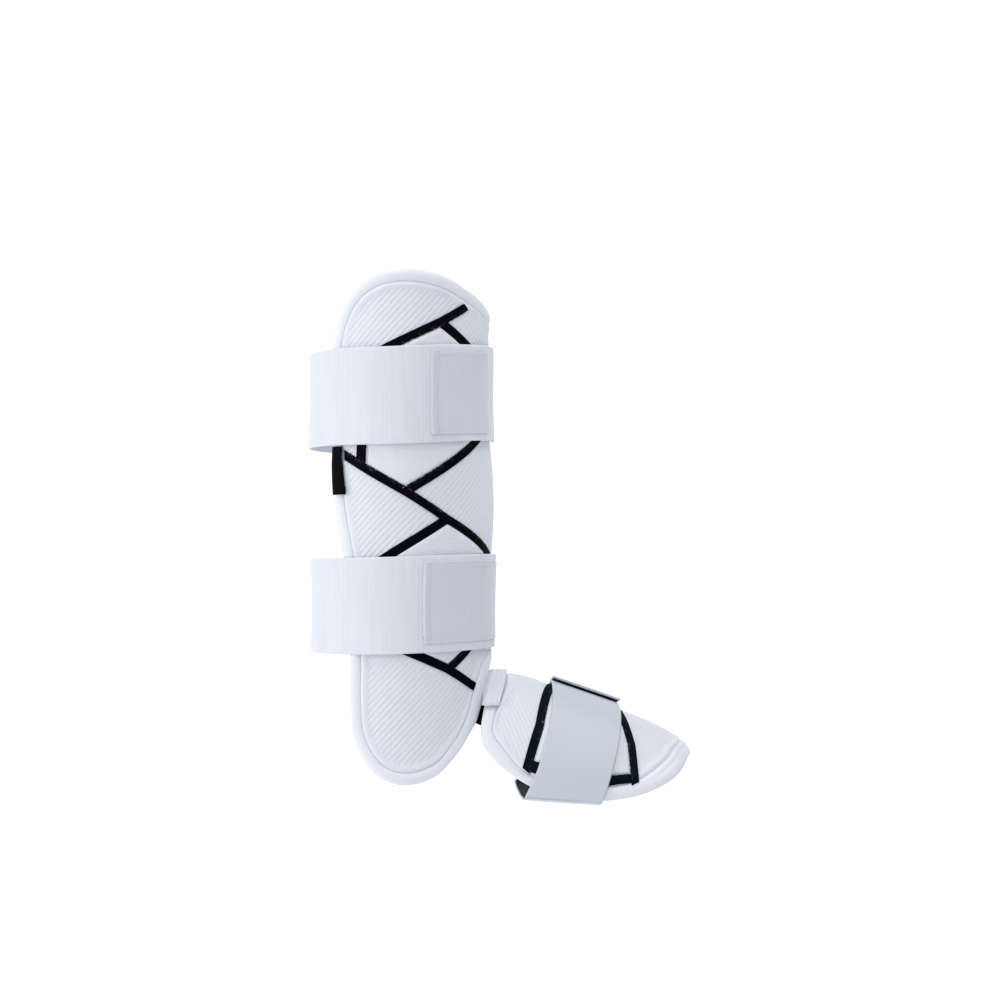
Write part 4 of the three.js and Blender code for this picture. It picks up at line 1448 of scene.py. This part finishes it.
BAND_WIDTH = 5.9
SHIN_BANDS = (
    Band("upper_band_top_rear", ((108.2, 250.6), (61.5, 274.1), (41.6, 285.4)), BAND_WIDTH, ragged=1,
         slopes=(0.0, 0.35)),
    Band("upper_band_top_front", ((58.2, 271.4), (27.6, 251.2)), 6.8, ragged=1,
         meets=("upper_band_top_rear", "")),
    Band("upper_band_front", ((20, 247.6), (20, 206.4)), BAND_WIDTH),
    Band("upper_band_low_front", ((24.4, 203.0), (80.0, 166.6)), BAND_WIDTH, ragged=1,
         meets=("", "middle_band")),
    Band("upper_band_rear", ((112.8, 245.0), (112.4, 187.4)), 6.9, ragged=-1, meets=("", "middle_band")),
    Band("middle_band", ((124.0, 187.6), (84, 162.8), (58.7, 145.5), (20.4, 124.9), (6, 117.5)), BAND_WIDTH,
         ragged=-1, slopes=(-0.75, 0.0)),
    Band("lower_band_top_rear", ((63.6, 142.6), (105.2, 114.8)), BAND_WIDTH, meets=("middle_band", "")),
    Band("lower_band_rear", ((109.2, 110.4), (109.2, 72.6)), BAND_WIDTH),
    Band("lower_band_low_rear", ((105.2, 68.6), (57.5, 47.2), (35.4, 34.5)), BAND_WIDTH, slopes=(0.0, -0.15)),
    Band("lower_band_low_front", ((53.6, 49.8), (24.4, 72.4)), BAND_WIDTH, ragged=-1,
         meets=("lower_band_low_rear", "")),
    Band("lower_band_front", ((20, 76.6), (20, 118.2)), BAND_WIDTH),
)
FOOT_BANDS = (
    Band("foot_band_rear", ((104.1, -6), (93.0, 51), (84.3, 75.0)), 5.7, (1, 0.8), -1, 0.4),
    Band("foot_band_front", ((143.2, -6), (153.6, 48.6), (155.4, 76.6)), 5.8, (1, 0.8), 1, 1.6,
         slopes=(0.0, 0.35)),
    Band("foot_band_low", ((89.8, 72.6), (136, 76.6), (152.4, 73.4)), 5.4, (1, 0.9),
         meets=("foot_band_rear", "foot_band_front")),
)


# Patches of the shin shield: name, first and last turn, the bands over it and the bands under it
SHIN_PATCHES = (
    ("upper_loop_patch", (24.6, 107.8), ("upper_band_top_front", "upper_band_top_rear"),
     ("upper_band_low_front", "middle_band")),
    ("lower_loop_patch", (24.6, 105.2), ("middle_band", "lower_band_top_rear"),
     ("lower_band_low_front", "lower_band_low_rear")),
)


@dataclass
class Trim:
    """The black bands and the loop patches of both shields."""

    shin: Shield
    foot: Shield
    foot_turns: tuple[float, float] = (4.0, 68.0)
    foot_sag: float = 4.4

    def build(self) -> None:
        """Builds every band and patch."""
        named = {band.name: band for band in SHIN_BANDS + FOOT_BANDS}
        for band in SHIN_BANDS:
            band.build(self.shin, Finish.BAND, "band", named)
        for band in FOOT_BANDS:
            band.build(self.foot, Finish.FOOT_BAND, "foot_band", named)
        clear = 1.2 * (BAND_WIDTH / 2 + 0.1)
        for name, turns, above, below in SHIN_PATCHES:
            turn = spread(*turns, 1.3)
            high = np.minimum(*(named[band].crossing(0, turn) for band in above)) - clear
            low = np.maximum(*(named[band].crossing(0, turn) for band in below)) + clear
            LoopPatch(name, self.shin, np.column_stack([turn, low]), np.column_stack([turn, high])).build()
        rear, front = FOOT_BANDS[:2]
        turn = spread(*self.foot_turns, 1.4)
        low = rear.crossing(1, turn) + rear.width / 2 + 0.4
        high = front.crossing(1, turn) - front.width / 2 + 0.1
        LoopPatch("foot_loop_patch", self.foot, np.column_stack([low, turn]), np.column_stack([high, turn]),
                  self.foot_sag).build()


@dataclass(frozen=True)
class Lamp:
    """A soft square area light that faces a target."""

    name: str
    place: tuple[float, float, float]
    target: tuple[float, float, float]
    power: float
    size: float = 1.2

    def build(self) -> None:
        """Adds the lamp."""
        lamp = bpy.data.lights.new(self.name, "AREA")
        lamp.size, lamp.energy = self.size, self.power
        holder = add_object(self.name, lamp)
        holder.location = self.place
        aim = mathutils.Vector(self.target) - mathutils.Vector(self.place)
        holder.rotation_mode = "QUATERNION"
        holder.rotation_quaternion = aim.to_track_quat("-Z", "Y")


@dataclass
class Studio:
    """Pale floor and backdrop, soft lights and the camera."""

    floor: float = -0.3
    near: float = -4.5
    bend_starts: float = 1.2
    bend: float = 0.9
    top: float = 4.0
    white: tuple[float, ...] = (0.95, 0.95, 0.95, 1.0)
    near_glow: Colour = (0.12, 0.12, 0.12)
    glow_starts: tuple[float, float] = (0.15, 0.48)
    glow: float = 0.42
    air: tuple[float, ...] = (0.9, 0.94, 1.0, 1.0)
    air_strength: float = 0.35
    lamps: tuple[Lamp, ...] = (
        Lamp("side_key", (-1.9, -0.6, 0.45), (0, 0, 0.1), 19.4),
        Lamp("overhead", (0.25, -0.5, 1.9), (0.05, 0, 0.1), 16.8),
        Lamp("high_front", (0.5, -1.5, 1.5), (0.05, 0, 0.1), 8.0),
    )
    camera_place: tuple[float, float, float] = (0.067, -1.250, 0.1088)
    lens: float = 66.18
    sensor: float = 36.0
    shift: float = 0.075

    def build(self) -> None:
        """Builds the stage, the lights and the camera."""
        self._backdrop()
        for lamp in self.lamps:
            lamp.build()
        world = bpy.data.worlds.new("studio_air")
        world.use_nodes = True
        air = world.node_tree.nodes["Background"].inputs
        air["Color"].default_value, air["Strength"].default_value = self.air, self.air_strength
        bpy.context.scene.world = world
        self._camera()
        bpy.context.scene.view_settings.view_transform = "Standard"

    def _backdrop(self) -> None:
        """Builds the floor that curves up into the backdrop. It glows as a light, fainter on the floor under
        and in front of the guard.
        """
        curve = [(self.bend_starts + self.bend * math.sin(a), self.floor + self.bend * (1 - math.cos(a)))
                 for a in np.linspace(0, math.pi / 2, 16)]
        profile = [(self.near, self.floor), *curve, (self.bend_starts + self.bend, self.top)]
        points = np.array([(x, y, z) for y, z in profile for x in (self.near, -self.near)])
        faces = [(2 * i, 2 * i + 1, 2 * i + 3, 2 * i + 2) for i in range(len(profile) - 1)]
        mesh = new_mesh("backdrop", points, faces, points)
        recipe = Recipe("studio_paper", 0.9)
        # The backdrop glows to light the guard, fainter on the floor under and in front of it.
        recipe.feed(recipe.shader["Emission Color"],
                    recipe.blend(recipe.y.step(*self.glow_starts), self.near_glow, (1, 1, 1)))
        recipe.feed(recipe.shader["Emission Strength"], self.glow)
        mesh.materials.append(recipe.finish(self.white))
        add_object("backdrop", mesh)

    def _camera(self) -> None:
        """Adds the camera at the photograph's angle."""
        data = bpy.data.cameras.new("camera")
        data.lens, data.sensor_width, data.shift_y = self.lens, self.sensor, self.shift
        camera = add_object("camera", data)
        camera.location = self.camera_place
        camera.rotation_euler = (math.pi / 2, 0, 0)
        bpy.context.scene.camera = camera


def main() -> None:
    """Builds the guard piece by piece, then the studio."""
    logging.basicConfig(level=logging.INFO, format="%(message)s")
    shin = Shield("shin", SHIN, SHIN_OUTLINE, ((45, 82), (45, 238)), (60, 70, 110), Finish.SHIN_FACE,
                  shin_rim_width, swell=1.9)
    foot = Shield("foot", FOOT, FOOT_OUTLINE[::-1], ((92, 16), (150, 16)), (24, 56, 56), Finish.FOOT_FACE,
                  foot_rim_width)
    for shield in (shin, foot):
        shield.build_pad()
        shield.build_rim()
    Trim(shin, foot).build()
    CalfStrap("upper", 225.4, -18, 158, (22, 69.5), 54, 21, rise=5.4).build()
    CalfStrap("lower", 88.4, -20, 134, (-12, 74.4), 52, 34, 0.8, 9.5, 3.3, 130).build()
    SideTag().build(shin)
    FootStrap().build()
    Links().build()
    Studio().build()


if __name__ == "__main__":
    main()
